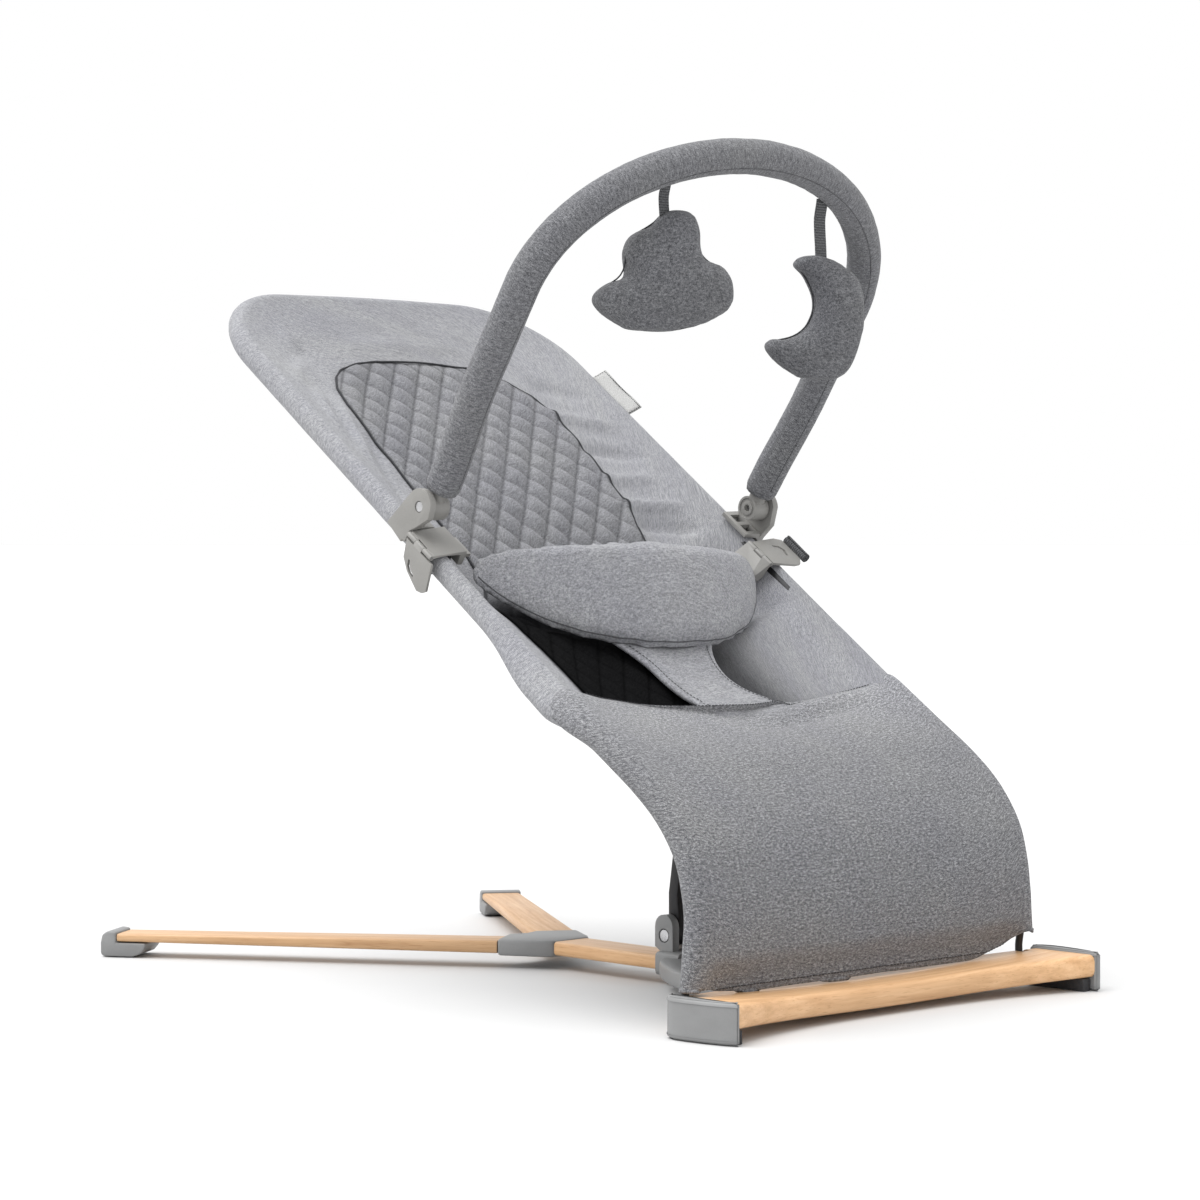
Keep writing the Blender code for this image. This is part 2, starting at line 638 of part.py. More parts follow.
def toy_bar():
    line = toy_path()
    origin = (0, *TOY_PIVOT)
    swept("toy_bar_tube", line, circle(TOY_TUBE_R, 12), "warm_plastic", origin=origin)
    cover = [Vector(toy_point(-180.3, 15.5))] + line[1:-1] + [Vector(toy_point(180.3, 15.5))]
    hollow("toy_bar_sleeve", cover, circle(TOY_SLEEVE_R, 12), circle(TOY_TUBE_R + 0.5, 12), "fabric")
    for name, side in sides():
        low, high = sorted((side * 173.5, side * 189.8))
        pivot = (side * 179, *TOY_PIVOT)
        knuckle = rod("toy_knuckle_" + name, (low, *TOY_PIVOT), (high, *TOY_PIVOT), 10.5, "warm_plastic", pivot)
        stub = rod("knuckle_stub_" + name, toy_point(side * 180.5, 2), toy_point(side * 180.5, 21.2), 7.2)
        join(knuckle, stub)
        cut(knuckle, rod("knuckle_hole_" + name, (low - 5, *TOY_PIVOT), (high + 5, *TOY_PIVOT), 3.08))
        groove = rod("knuckle_groove_" + name, (side * 168, *TOY_PIVOT), (side * 174.4, *TOY_PIVOT), 8.6)
        boss = rod("knuckle_boss_" + name, (side * 160, *TOY_PIVOT), (side * 180, *TOY_PIVOT), 6.2)
        cut(knuckle, cut(groove, boss))


def along_rail(name, section, low, high, slot=None, origin=None, soften=0.0):
    """A section, drawn across the rail as (x, height off the rail's centre), pulled from low to high."""
    rings = [[seat_point(x, t, RAIL_N + n) for x, n in section] for t in (low, high)]
    return lofted(name, rings, slot, origin, soften)


def bracket(name, side):
    """A saddle over the rail with an upright lug outside it for the toy bar's pivot."""
    crown = [(172.5, 10.4), (172.5, 13.8), (190.8, 14.5), (197, 11), (197, 0), (191.2, 0), (191.2, 7), (187, 10)]
    low = 437 if side > 0 else 448
    body = along_rail("toy_bracket_" + name, [(side * x, n) for x, n in crown], low, 470, "warm_plastic")
    foot = [(338, 373), (352.5, 367), (360, 364.5), (371, 356)]
    if side > 0:
        foot = [(339, 368), (352, 357), (366, 352)]
    lug = foot + [(387, 371.5)] + arc_points(TOY_PIVOT, 14.5, 52, 177, 10)
    low, high = sorted((side * 191.2, side * 197))
    join(body, prism("bracket_lug_" + name, lug, "X", low, high))
    for word, start, end in (("front", 441, 450.5), ("rear", 455, 465))[side < 0 :]:
        window = [(side * x, n) for x, n in ((176.5, 5), (187.5, 5), (187.5, 25), (176.5, 25))]
        cut(body, along_rail("bracket_window_" + word + name, window, start, end))
    cut(body, rod("bracket_hole_" + name, (low - 3, *TOY_PIVOT), (high + 3, *TOY_PIVOT), 3.08))
    cut(body, rod("bracket_sink_" + name, (side * 194.3, *TOY_PIVOT), (side * 202, *TOY_PIVOT), 4.6))
    screw = rod("toy_pivot_screw_" + name, (side * 177, *TOY_PIVOT), (side * 196, *TOY_PIVOT), 3.0, "steel")
    join(screw, rod("screw_head_" + name, (side * 194.6, *TOY_PIVOT), (side * 196.4, *TOY_PIVOT), 4.0))
    return body


BUCKLES = {
    # ridge (x, n), its low and high end, plain half, pocket, tongue and slotted half
    "left": {
        "ridge": (-197.8, 9.0),
        "ends": (413.0, 446.0),
        "plain": [(-197.8, 8.0), (-187, 10.9), (-181, 11.7), (-169.5, 12.3), (-168.3, 3), (-163.5, 3)]
        + [(-163.5, 13.5), (-165, 16), (-196, 11.4)],
        "pocket": [(-167.2, 6), (-160, 6), (-160, 9.8), (-167.2, 9.8)],
        "tongue": [(-166.8, 6.4), (-153, 6.4), (-153, 9.4), (-166.8, 9.4)],
        "flap": [(-200.4, 6.3), (-198.2, 6.3), (-198.2, -21), (-200.4, -21)],
        "hook": [(-200.4, 4), (-198.2, 4), (-197.4, 8.4), (-200.0, 9.4)],
        "outline": [(444, 6.3), (438.5, -8), (429, -14.5), (411, -20.5), (405, -18.5), (401.5, -14.5), (408, 6.3)],
        "slot": [(433, -6), (431, -11), (426.5, -14), (420.5, -15), (420.7, -13), (425.5, -11.6), (429, -9)]
        + [(431, -5.5)],
    },
    "right": {
        "ridge": (170.0, 11.5),
        "ends": (396.0, 428.0),
        "plain": [(169.4, 8.4), (170.9, 10.6), (168.5, 12.4), (151.5, -6.5), (157.5, -12.5), (168.3, -1.5)],
        "pocket": [(161.3, -5.2), (158.8, -2.6), (148, -13.4), (150.6, -16)],
        "tongue": [(160.9, -5.0), (158.8, -2.9), (151.8, -9.9), (153.9, -12.0)],
        "flap": [(172.7, 11.0), (208, 12.6), (208, 14.8), (172.7, 13.2)],
        "hook": [(169.6, 12.4), (171.2, 10.2), (175, 11.1), (175, 13.3)],
        "outline": [(427, 172.7), (430, 200), (427, 208), (400, 208), (393.5, 203), (392.5, 196), (396.5, 172.7)],
        "slot": [(421, 190.5), (419, 197.5), (414, 200.5), (405, 198), (405.8, 195.8), (413.5, 197.6), (417, 195.5)]
        + [(418.5, 190.5)],
    },
}


def buckle(name, side):
    """A waist buckle clipped over the rail: a plain half that takes the pad's tongue and, hinged to it
    on a pin along the ridge, a slotted half for the strap."""
    plan = BUCKLES[name]
    low, high = plan["ends"]
    third = (high - low) / 3
    x, n = plan["ridge"]

    def barrel(word, start, end, radius, slot=None, origin=None):
        ends = [seat_point(x, t, RAIL_N + n) for t in (start, end)]
        return rod(word + name, *ends, radius, slot, origin, 16)

    body = along_rail("buckle_body_" + name, plan["plain"], low, high, "warm_plastic")
    cut(body, barrel("buckle_gap_", low + third - 0.3, high - third + 0.3, 3.0))
    for word, start in (("front", low), ("rear", high - third)):
        join(body, barrel("buckle_knuckle_" + word, start, start + third, 2.2))
    cut(body, barrel("buckle_hole_", low - 4, high + 4, 1.18))
    cut(body, along_rail("buckle_pocket_" + name, plan["pocket"], low + 5, high - 5))
    along_rail("buckle_tongue_" + name, plan["tongue"], low + 5.4, high - 5.4, "warm_plastic")
    middle = seat_point(x, (low + high) / 2, RAIL_N + n)
    lever = barrel("buckle_lever_", low + third + 0.3, high - third - 0.3, 2.2, "warm_plastic", middle)
    flap = along_rail("buckle_flap_" + name, plan["flap"], 380, 460)
    outline, slot = plan["outline"], plan["slot"]
    if side < 0:
        edge = [[seat_point(a, t, RAIL_N + b) for t, b in outline] for a in (-210, -190)]
        crescent = [[seat_point(a, t, RAIL_N + b) for t, b in slot] for a in (-210, -190)]
    else:
        edge = [[seat_point(b, t, RAIL_N + a) for t, b in outline] for a in (5, 20)]
        crescent = [[seat_point(b, t, RAIL_N + a) for t, b in slot] for a in (5, 20)]
    boolean(flap, lofted("flap_edge_" + name, edge), "INTERSECT")
    hook = along_rail("buckle_hook_" + name, plan["hook"], low + third + 0.3, high - third - 0.3)
    join(lever, flap, hook)
    cut(lever, lofted("flap_slot_" + name, crescent), barrel("lever_hole_", low - 4, high + 4, 1.18))
    barrel("buckle_pin_", low + 0.5, high - 0.5, 1.1, "steel")
    start = low + 8
    ring, inner = circle(11.0, 16), circle(9.7, 16)
    centre = side * RAIL_X
    band = along_rail("rail_strap_" + name, [(centre + a, b) for a, b in ring], start, start + 18, "webbing")
    cut(band, along_rail("rail_strap_bore_" + name, [(centre + a, b) for a, b in inner], start - 5, start + 25))
    return body


def strap_roll():
    """The strap's free end, rolled up outside the right buckle."""
    line = [seat_point(x, t, RAIL_N + n) for x, t, n in ((212.6, 426, 16), (212.6, 398, 16))]
    swept("strap_roll", line, circle(3.6, 14), "webbing")


def toys():
    """A plush cloud and a plush moon, each on a short strap looped round the bar."""
    for name, x, h, drop in (("cloud", -85.5, 0, 28.0), ("moon", 93.0, 0, 41.0)):
        height = 198 + (TOY_RISE - 198) * math.sqrt(1 - (x / TOY_HALF) ** 2)
        top = Vector(toy_point(x, height - TOY_SLEEVE_R - 4.6))
        rings = []
        for z in (top.z, top.z - drop):
            rings.append([(x + a, top.y + b, z) for a, b in rounded(5 if name == "cloud" else 6, 0.9, 0.6, 1)])
        lofted(name + "_strap", rings, "webbing", tuple(top))
        outline = CLOUD if name == "cloud" else MOON
        low = top.z - drop - 0.4
        shape = [(x + a, low - b) for a, b in outline]
        depth = 17 if name == "cloud" else 15
        prism(name + "_toy", shape, "Y", top.y - depth, top.y + depth, "plush", tuple(top), 8.0)


CLOUD = [(-6, 0), (14, 0), (22, 6), (30, 18), (33, 30), (46, 34), (56, 46), (59, 60), (50, 72), (28, 83)]
CLOUD += [(0, 88), (-28, 86), (-54, 76), (-61, 64), (-54, 52), (-40, 42), (-36, 26), (-26, 12)]
MOON = [(-14, 0), (6, 0), (24, 9), (37, 26), (42, 45), (38, 66), (26, 86), (8, 98), (-12, 101), (-30, 95)]
MOON += [(-47, 83), (-50, 74), (-38, 70), (-24, 66), (-12, 56), (-6, 42), (-8, 26), (-18, 12), (-22, 4)]


def build():
    front_crossbar()
    front_yoke()
    centre_beam()
    rear_junction()
    for name, side in sides():
        front_cap(name, side)
        rear_leg(name, side)
        rear_cap(name, side)
    fasteners()
    recline_strut()
    recline_track(seat_frame())
    back_fabric()
    front_fabric()
    lap_pad()
    blank_tag()
    toy_bar()
    for name, side in sides():
        bracket(name, side)
        buckle(name, side)
    strap_roll()
    toys()


build()
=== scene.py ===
"""Looks of the baby bouncer seat: its sewn covers, quilting, lap pad, plush toys and finishes."""

import math

import bpy
import numpy as np
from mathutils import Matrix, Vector, bvhtree, noise


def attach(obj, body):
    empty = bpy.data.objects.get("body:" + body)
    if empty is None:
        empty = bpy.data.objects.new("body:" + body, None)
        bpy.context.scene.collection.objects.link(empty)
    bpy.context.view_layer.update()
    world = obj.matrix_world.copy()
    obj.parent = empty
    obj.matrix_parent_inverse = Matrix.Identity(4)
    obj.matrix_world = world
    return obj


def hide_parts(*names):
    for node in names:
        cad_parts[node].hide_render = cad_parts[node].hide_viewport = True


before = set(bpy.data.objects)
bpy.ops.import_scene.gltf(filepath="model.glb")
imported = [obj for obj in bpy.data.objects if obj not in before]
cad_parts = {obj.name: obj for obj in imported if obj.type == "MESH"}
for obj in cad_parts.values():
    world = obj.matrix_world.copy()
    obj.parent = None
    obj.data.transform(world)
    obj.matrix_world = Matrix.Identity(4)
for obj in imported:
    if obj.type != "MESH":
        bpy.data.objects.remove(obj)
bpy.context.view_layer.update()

# All shapes are worked out in millimetres from the front foot line, and moved by MIDDLE to the row frame.
MM = 0.001
MIDDLE = 364.2

# Seat: inclined rails with their own axes (x across, t up the slope, n off it), and their low front curve.
RAIL_TILT = math.radians(35.9)
RAIL_ORIGIN = (57.0, 19.0)
RAIL_X = 181.0
RAIL_N = 91.5
RAIL_TOP_T = 793.0
CORNER_R = 85.0
SKIN_R = 9.7
RAIL_LOW = ((57, 60.3), (57, 80), (60, 103), (68, 129), (86, 155), (112, 178), (150, 204), (191, 232))
SHEET_THICK = 1.3

# Toy bar: its pivots, lean, half width and rise.
TOY_PIVOT = (349.0, 383.0)
TOY_TILT = math.radians(33.0)
TOY_HALF = 187.0
TOY_SPRING = 198.0
TOY_RISE = 326.0
TOY_SLEEVE_R = 14.0

# Seams and stitches on the seat lie on cloth that faces this way.
SEAT_UP = (0, -0.59, 0.81)

# Quilting: diamonds this far apart across the seat, and how much their sides lean.
QUILT_PITCH = 27.9
QUILT_SLOPE = 0.777
QUILT_PHASE = 0.37


def at(x, y, z):
    """A point in millimetres from the front foot line, as metres in the row frame."""
    return Vector((x, y - MIDDLE, z)) * MM


def seat_yz(t, n):
    """Where a point of the seat's own axes lies along the object and above the floor."""
    y = RAIL_ORIGIN[0] + t * math.cos(RAIL_TILT) - n * math.sin(RAIL_TILT)
    z = RAIL_ORIGIN[1] + t * math.sin(RAIL_TILT) + n * math.cos(RAIL_TILT)
    return y, z


def seat(x, t, n):
    """A point given in the seat's own axes."""
    return at(x, *seat_yz(t, n))


def toy(x, rise):
    """A point in the toy bar's plane, at a rise above its pivots."""
    return at(x, TOY_PIVOT[0] - rise * math.sin(TOY_TILT), TOY_PIVOT[1] + rise * math.cos(TOY_TILT))


def step(low, high, value):
    """0 below low, 1 above high and smooth between."""
    share = min(1.0, max(0.0, (value - low) / (high - low)))
    return share * share * (3 - 2 * share)


def through(points, per=6, closed=False):
    """A smooth curve through the points."""
    pts = [Vector(p) for p in points]
    ends = (pts[-1:], pts[:2]) if closed else ([2 * pts[0] - pts[1]], [2 * pts[-1] - pts[-2]])
    run = ends[0] + pts + ends[1]
    out = []
    for a, b, c, d in zip(run, run[1:], run[2:], run[3:]):
        for k in range(per):
            s = k / per
            bend, twist = 2 * a - 5 * b + 4 * c - d, 3 * b - a - 3 * c + d
            out.append(0.5 * (2 * b + (c - a) * s + bend * s * s + twist * s**3))
    return out if closed else out + [pts[-1]]


def value_at(t, marks):
    """A value read at t off marks of (t, value), straight between them."""
    return float(np.interp(t, [m[0] for m in marks], [m[1] for m in marks]))


def circle(radius, sides):
    turns = [2 * math.pi * k / sides for k in range(sides)]
    return [(radius * math.cos(a), radius * math.sin(a)) for a in turns]


# ---------------------------------------------------------------- node materials
def node(tree, kind, inputs=None, **settings):
    made = tree.nodes.new("ShaderNode" + kind)
    for key, value in settings.items():
        setattr(made, key, value)
    for key, value in (inputs or {}).items():
        if isinstance(value, bpy.types.NodeSocket):
            tree.links.new(value, made.inputs[key])
        else:
            made.inputs[key].default_value = value
    return made


def maths(tree, operation, a, b=0.0):
    return node(tree, "Math", {0: a, 1: b}, operation=operation).outputs[0]


def tinted(tree, share, a, b):
    """Colour a multiplied by colour b, as far as share."""
    made = node(tree, "Mix", {0: share, 6: a, 7: b}, data_type="RGBA", blend_type="MULTIPLY")
    return made.outputs[2]


def ramp(tree, value, *stops):
    """Colours at stops of (place, colour), read by value."""
    made = node(tree, "ValToRGB", {"Fac": value})
    marks = made.color_ramp.elements
    while len(marks) < len(stops):
        marks.new(0.5)
    for mark, (place, colour) in zip(marks, stops):
        mark.position = place
        mark.color = (*colour, 1)
    return made.outputs["Color"]


def grey(value):
    return (value, value, value)


def noisy(tree, where, scale, stretch=(1, 1, 1), detail=2.0, rough=0.5):
    """Noise of so many grains per metre, drawn out along an axis whose stretch is below 1."""
    moved = node(tree, "Mapping", {"Vector": where, "Scale": stretch}).outputs[0]
    inputs = {"Vector": moved, "Scale": scale, "Detail": detail, "Roughness": rough}
    return node(tree, "TexNoise", inputs).outputs[0]


def banded(tree, where, across, **inputs):
    """Soft stripes lying across one axis of where."""
    return node(tree, "TexWave", {"Vector": where, **inputs}, bands_direction=across).outputs[1]


def stripes_every(spacing):
    """The wave scale that gives one stripe each spacing metres."""
    return math.pi / 10 / spacing


def new_material(name):
    made = bpy.data.materials.new(name)
    made.use_nodes = True
    tree = made.node_tree
    return made, tree, tree.nodes["Principled BSDF"]


def bump(tree, shader, height, distance, strength):
    made = node(tree, "Bump", {"Height": height, "Distance": distance, "Strength": strength})
    tree.links.new(made.outputs[0], shader.inputs["Normal"])


def heather(name, dark, middle, light, on_uv=True, shaded=True):
    """Melange cloth: slubby two-tone yarns over a plain weave, lightly fuzzy, dimmed by its painted shade
    value.
    """
    thread = 0.0013
    contrast = 0.13
    made, tree, shader = new_material(name)
    where = node(tree, "TexCoord").outputs["UV" if on_uv else "Object"]
    slub = noisy(tree, where, 620, (0.5, 1, 1), 3, 0.65)
    fleck = noisy(tree, where, 1250, (1, 1, 1), 2, 0.6)
    streak = noisy(tree, where, 260, (0.3, 1, 1), 2, 0.5)
    blotch = noisy(tree, where, 14, (1, 1, 1), 3, 0.5)
    yarn = maths(tree, "ADD", maths(tree, "MULTIPLY", slub, 0.5), maths(tree, "MULTIPLY", fleck, 0.5))
    colour = ramp(tree, yarn, (0.5 - contrast, dark), (0.5, middle), (0.5 + contrast, light))
    lines = ramp(tree, streak, (0.38, grey(0.9)), (0.55, grey(1.0)), (0.7, grey(1.06)))
    colour = tinted(tree, 1.0, colour, lines)
    shades = ramp(tree, blotch, (0.3, (0.93, 0.93, 0.96)), (0.7, (1.05, 1.05, 1.04)))
    colour = tinted(tree, 1.0, colour, shades)
    gloss = {"Sheen Weight": 0.16, "Specular IOR Level": 0.18}
    # Painted shade: the shade attribute darkens the colour, sheen and specular.
    if shaded:
        shade = node(tree, "Attribute", attribute_name="shade").outputs["Color"]
        colour = tinted(tree, 1.0, colour, shade)
    for socket, value in gloss.items():
        if shaded:
            tree.links.new(maths(tree, "MULTIPLY", shade, value), shader.inputs[socket])
        else:
            shader.inputs[socket].default_value = value
    tree.links.new(colour, shader.inputs["Base Color"])
    yarns = {"Scale": stripes_every(thread), "Distortion": 1.2, "Detail": 1.0}
    weave = maths(tree, "MAXIMUM", banded(tree, where, "X", **yarns), banded(tree, where, "Y", **yarns))
    height = maths(tree, "ADD", maths(tree, "MULTIPLY", weave, 0.45), yarn)
    bump(tree, shader, height, 0.0007, 0.75)
    shader.inputs["Roughness"].default_value = 0.93
    shader.inputs["Sheen Roughness"].default_value = 0.5
    return made


def moulded(name, colour, rough=0.42, grain=0.00012):
    """Injection-moulded plastic with a fine eroded texture and faint flow marks."""
    made, tree, shader = new_material(name)
    where = node(tree, "TexCoord").outputs["Object"]
    fine = noisy(tree, where, 1500, detail=2)
    broad = noisy(tree, where, 22, (1, 1, 2), 3)
    low, high = [tuple(c * k for c in colour) for k in (0.93, 1.05)]
    tint = ramp(tree, broad, (0.35, low), (0.65, high))
    specks = ramp(tree, fine, (0.42, grey(0.965)), (0.6, grey(1.02)))
    tree.links.new(tinted(tree, 1.0, tint, specks), shader.inputs["Base Color"])
    sheen = ramp(tree, broad, (0.3, grey(rough - 0.05)), (0.7, grey(rough + 0.08)))
    tree.links.new(sheen, shader.inputs["Roughness"])
    bump(tree, shader, fine, grain, 0.6)
    shader.inputs["Specular IOR Level"].default_value = 0.45
    return made


def oak(name, turn=0.0, light=1.0):
    """Straight-grained varnished wood; turn swings the grain from along X, and light scales its whole tone:
    above 1 as painted light, below 1 as painted shade.
    """
    made, tree, shader = new_material(name)
    where = node(tree, "TexCoord").outputs["Object"]
    along = node(tree, "Mapping", {"Vector": where, "Rotation": (0, 0, -turn)}).outputs[0]
    fibre = noisy(tree, along, 260, (0.035, 1, 1), 4, 0.6)
    band = noisy(tree, along, 42, (0.05, 1, 0.8), 3, 0.5)
    pore = noisy(tree, along, 1300, (0.05, 1, 1), 1, 0.5)
    swirl = node(tree, "Mapping", {"Vector": along, "Scale": (0.16, 1, 1)}).outputs[0]
    rings = banded(tree, swirl, "Y", **{"Scale": 26, "Distortion": 5.5, "Detail": 2.5, "Detail Scale": 1.6})
    brown, tan, honey = (0.53, 0.315, 0.16), (0.62, 0.385, 0.205), (0.69, 0.455, 0.26)
    colour = ramp(tree, fibre, (0.3, brown), (0.5, tan), (0.72, honey))
    # Painted light and shade: both tints are scaled by light.
    darker, paler = [tuple(c * light for c in tint) for tint in ((0.88, 0.85, 0.80), (1.1, 1.08, 1.05))]
    tone = ramp(tree, band, (0.3, darker), (0.7, paler))
    colour = tinted(tree, 1.0, colour, tone)
    growth = ramp(tree, rings, (0.0, (0.86, 0.80, 0.72)), (0.35, grey(1.0)), (1.0, (1.03, 1.03, 1.02)))
    colour = tinted(tree, 0.4, colour, growth)
    pits = ramp(tree, pore, (0.3, (0.72, 0.62, 0.5)), (0.4, grey(1.0)))
    colour = tinted(tree, 0.55, colour, pits)
    tree.links.new(colour, shader.inputs["Base Color"])
    tree.links.new(ramp(tree, fibre, (0.3, grey(0.5)), (0.7, grey(0.38))), shader.inputs["Roughness"])
    bump(tree, shader, maths(tree, "ADD", fibre, maths(tree, "MULTIPLY", pore, 0.4)), 0.00025, 0.5)
    shader.inputs["Coat Weight"].default_value = 0.12
    shader.inputs["Coat Roughness"].default_value = 0.35
    return made


def metal(name, colour, rough, metallic=1.0):
    """Turned or powder-coated metal with faint brushed marks."""
    made, tree, shader = new_material(name)
    where = node(tree, "TexCoord").outputs["Object"]
    fine = noisy(tree, where, 900, (1, 1, 0.1), 3)
    low, high = [tuple(c * k for c in colour) for k in (0.85, 1.1)]
    tree.links.new(ramp(tree, fine, (0.3, low), (0.7, high)), shader.inputs["Base Color"])
    gloss = ramp(tree, fine, (0.3, grey(rough - 0.06)), (0.7, grey(rough + 0.1)))
    tree.links.new(gloss, shader.inputs["Roughness"])
    bump(tree, shader, fine, 0.00008, 0.5)
    shader.inputs["Metallic"].default_value = metallic
    return made


def rubber(name):
    """Matt black rubber with a fine grain."""
    made, tree, shader = new_material(name)
    where = node(tree, "TexCoord").outputs["Object"]
    fine = noisy(tree, where, 1100, detail=3)
    colour = ramp(tree, fine, (0.3, (0.018, 0.018, 0.02)), (0.7, (0.04, 0.04, 0.043)))
    tree.links.new(colour, shader.inputs["Base Color"])
    bump(tree, shader, fine, 0.0002, 0.6)
    shader.inputs["Roughness"].default_value = 0.78
    return made


def webbing(name, colour, rib=0.0021, contrast=0.4):
    """Narrow woven tape: close ribs across it and a heathered yarn."""
    made, tree, shader = new_material(name)
    where = node(tree, "TexCoord").outputs["UV"]
    ribs = banded(tree, where, "Y", Scale=stripes_every(rib), Distortion=0.4)
    yarn = noisy(tree, where, 1200, (1, 0.5, 1), 2)
    low, high = [tuple(c * k for c in colour) for k in (1 - contrast, 1 + contrast)]
    tone = ramp(tree, yarn, (0.35, low), (0.65, high))
    shadow = ramp(tree, ribs, (0.0, grey(0.45)), (0.5, grey(1.0)))
    tree.links.new(tinted(tree, 1.0, tone, shadow), shader.inputs["Base Color"])
    bump(tree, shader, maths(tree, "ADD", ribs, maths(tree, "MULTIPLY", yarn, 0.4)), 0.0006, 0.9)
    shader.inputs["Roughness"].default_value = 0.9
    return made


# Each cloth's darkest, middle and palest yarn.
SEAT_CLOTH = heather("seat_cloth", (0.17, 0.173, 0.187), (0.312, 0.315, 0.331), (0.47, 0.473, 0.488))
APRON_CLOTH = heather("apron_cloth", (0.045, 0.046, 0.052), (0.17, 0.172, 0.18), (0.41, 0.412, 0.42))
PAD_CLOTH = heather("pad_cloth", (0.165, 0.167, 0.178), (0.29, 0.293, 0.308), (0.437, 0.44, 0.455), False)
TOY_CLOTH = heather(
    "toy_cloth", (0.05, 0.051, 0.056), (0.125, 0.127, 0.134), (0.235, 0.237, 0.247), on_uv=False, shaded=False
)
BAR_CLOTH = heather("bar_cloth", (0.06, 0.061, 0.067), (0.158, 0.16, 0.168), (0.29, 0.292, 0.302), shaded=False)
# Painted shade: the lining is a real part, coloured near black to stand for the deep shade inside the pocket.
PAINTED_SHADE_LINING = heather(
    "lining_black_painted_shade", (0.004, 0.004, 0.005), (0.008, 0.008, 0.009), (0.016, 0.016, 0.018), shaded=False
)
THREAD = webbing("seam_thread", (0.05, 0.051, 0.056), 0.0012)
PIPING = webbing("seam_piping", (0.13, 0.132, 0.14), 0.0012)
TAPE = webbing("woven_tape", (0.12, 0.122, 0.128))
STRAP = webbing("strap_tape", (0.25, 0.253, 0.265))
LABEL = webbing("blank_label", (0.66, 0.66, 0.65), 0.0011, 0.1)
BASE_GREY = moulded("base_grey", (0.235, 0.237, 0.238), 0.44)
WARM_GREY = moulded("warm_grey", (0.255, 0.25, 0.238), 0.4)
BLACK = metal("black_powder_coat", (0.02, 0.02, 0.022), 0.42, 0.3)
STEEL = metal("turned_steel", (0.55, 0.55, 0.56), 0.28)
RUBBER = rubber("foot_rubber")


# ---------------------------------------------------------------- mesh helpers
def make(name, points, faces, material, body=None, uv=None, shade=None):
    """A smooth-shaded mesh piece, with UVs and a shade value for each point."""
    mesh = bpy.data.meshes.new(name)
    mesh.from_pydata(points, [], faces)
    mesh.validate()
    mesh.shade_smooth()
    layer = mesh.uv_layers.new(name="cloth")
    corner = np.empty(len(mesh.loops), np.int32)
    mesh.loops.foreach_get("vertex_index", corner)
    flat = np.array(uv if uv is not None else [(p[0], p[1]) for p in points], np.float32)
    layer.data.foreach_set("uv", flat[corner].ravel())
    tones = mesh.color_attributes.new("shade", "FLOAT_COLOR", "POINT")
    level = np.ones(len(points), np.float32) if shade is None else np.array(shade, np.float32)
    tones.data.foreach_set("color", np.stack([level, level, level, np.ones_like(level)], 1).ravel())
    mesh.materials.append(material)
    obj = bpy.data.objects.new(name, mesh)
    bpy.context.scene.collection.objects.link(obj)
    if body:
        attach(obj, body)
    return obj


def shade_one(obj):
    """Gives a remeshed piece its shade attribute again."""
    mesh = obj.data
    tones = mesh.color_attributes.get("shade") or mesh.color_attributes.new("shade", "FLOAT_COLOR", "POINT")
    tones.data.foreach_set("color", np.ones(len(mesh.vertices) * 4, np.float32))


def quads(rows, cols, closed=False):
    """Faces between neighbouring rows of points, closed round each row for a tube."""
    faces = []
    for i in range(rows - 1):
        for j in range(cols if closed else cols - 1):
            k = (j + 1) % cols
            faces.append((i * cols + j, i * cols + k, (i + 1) * cols + k, (i + 1) * cols + j))
    return faces


def end_caps(size, count):
    """Faces that close the first and last ring of a tube of count points."""
    return [tuple(reversed(range(size))), tuple(range(count - size, count))]


def lengths(points):
    """The distance along a line to each of its points."""
    out = [0.0]
    for a, b in zip(points, points[1:]):
        out.append(out[-1] + (b - a).length)
    return out


def cloth_grid(name, rows, material, body, shade=None, thick=SHEET_THICK):
    """A sheet through rows of points, its UVs in metres along the cloth."""
    points = [p for row in rows for p in row]
    middle = len(rows[0]) // 2
    climb = list(zip(*[lengths([row[j] for row in rows]) for j in range(len(rows[0]))]))
    uv = []
    for row, rises in zip(rows, climb):
        across = lengths(row)
        uv += [(a - across[middle], rise) for a, rise in zip(across, rises)]
    obj = make(name, points, quads(len(rows), len(rows[0])), material, body, uv, shade)
    wall = obj.modifiers.new("cloth_thickness", "SOLIDIFY")
    wall.thickness = thick * MM
    wall.offset = -1
    wall.use_even_offset = False
    return obj


def weld_first(obj):
    """Joins points that lie on each other, before the cloth gets its thickness."""
    seam = obj.modifiers.new("joined", "WELD")
    seam.merge_threshold = 0.05 * MM
    while obj.modifiers[0] != seam:
        bpy.context.view_layer.objects.active = obj
        bpy.ops.object.modifier_move_up(modifier=seam.name)


def frames_of(path, side):
    """Tangent, side and normal along a path, carried without twist."""
    out = []
    across = Vector(side)
    for i, here in enumerate(path):
        tangent = (path[min(i + 1, len(path) - 1)] - path[max(i - 1, 0)]).normalized()
        across = (across - tangent * across.dot(tangent)).normalized()
        out.append((here, tangent, across, tangent.cross(across)))
    return out


def tube(name, path, section, material, body, side=(1, 0, 0), caps=True, swell=None):
    """A section swept along a path; swell changes its size at each point and angle."""
    rows = []
    for i, (here, _, across, normal) in enumerate(frames_of(path, side)):
        ring = []
        for j, (a, b) in enumerate(section):
            k = swell(i, j) if swell else 1.0
            ring.append(here + across * a * k + normal * b * k)
        rows.append(ring)
    size = len(section)
    points = [p for row in rows for p in row]
    climb = lengths(path)
    round_ = lengths(rows[0])
    uv = [(round_[j], climb[i]) for i in range(len(rows)) for j in range(size)]
    faces = quads(len(rows), size, True)
    if caps:
        faces += end_caps(size, len(points))
    return make(name, points, faces, material, body, uv)


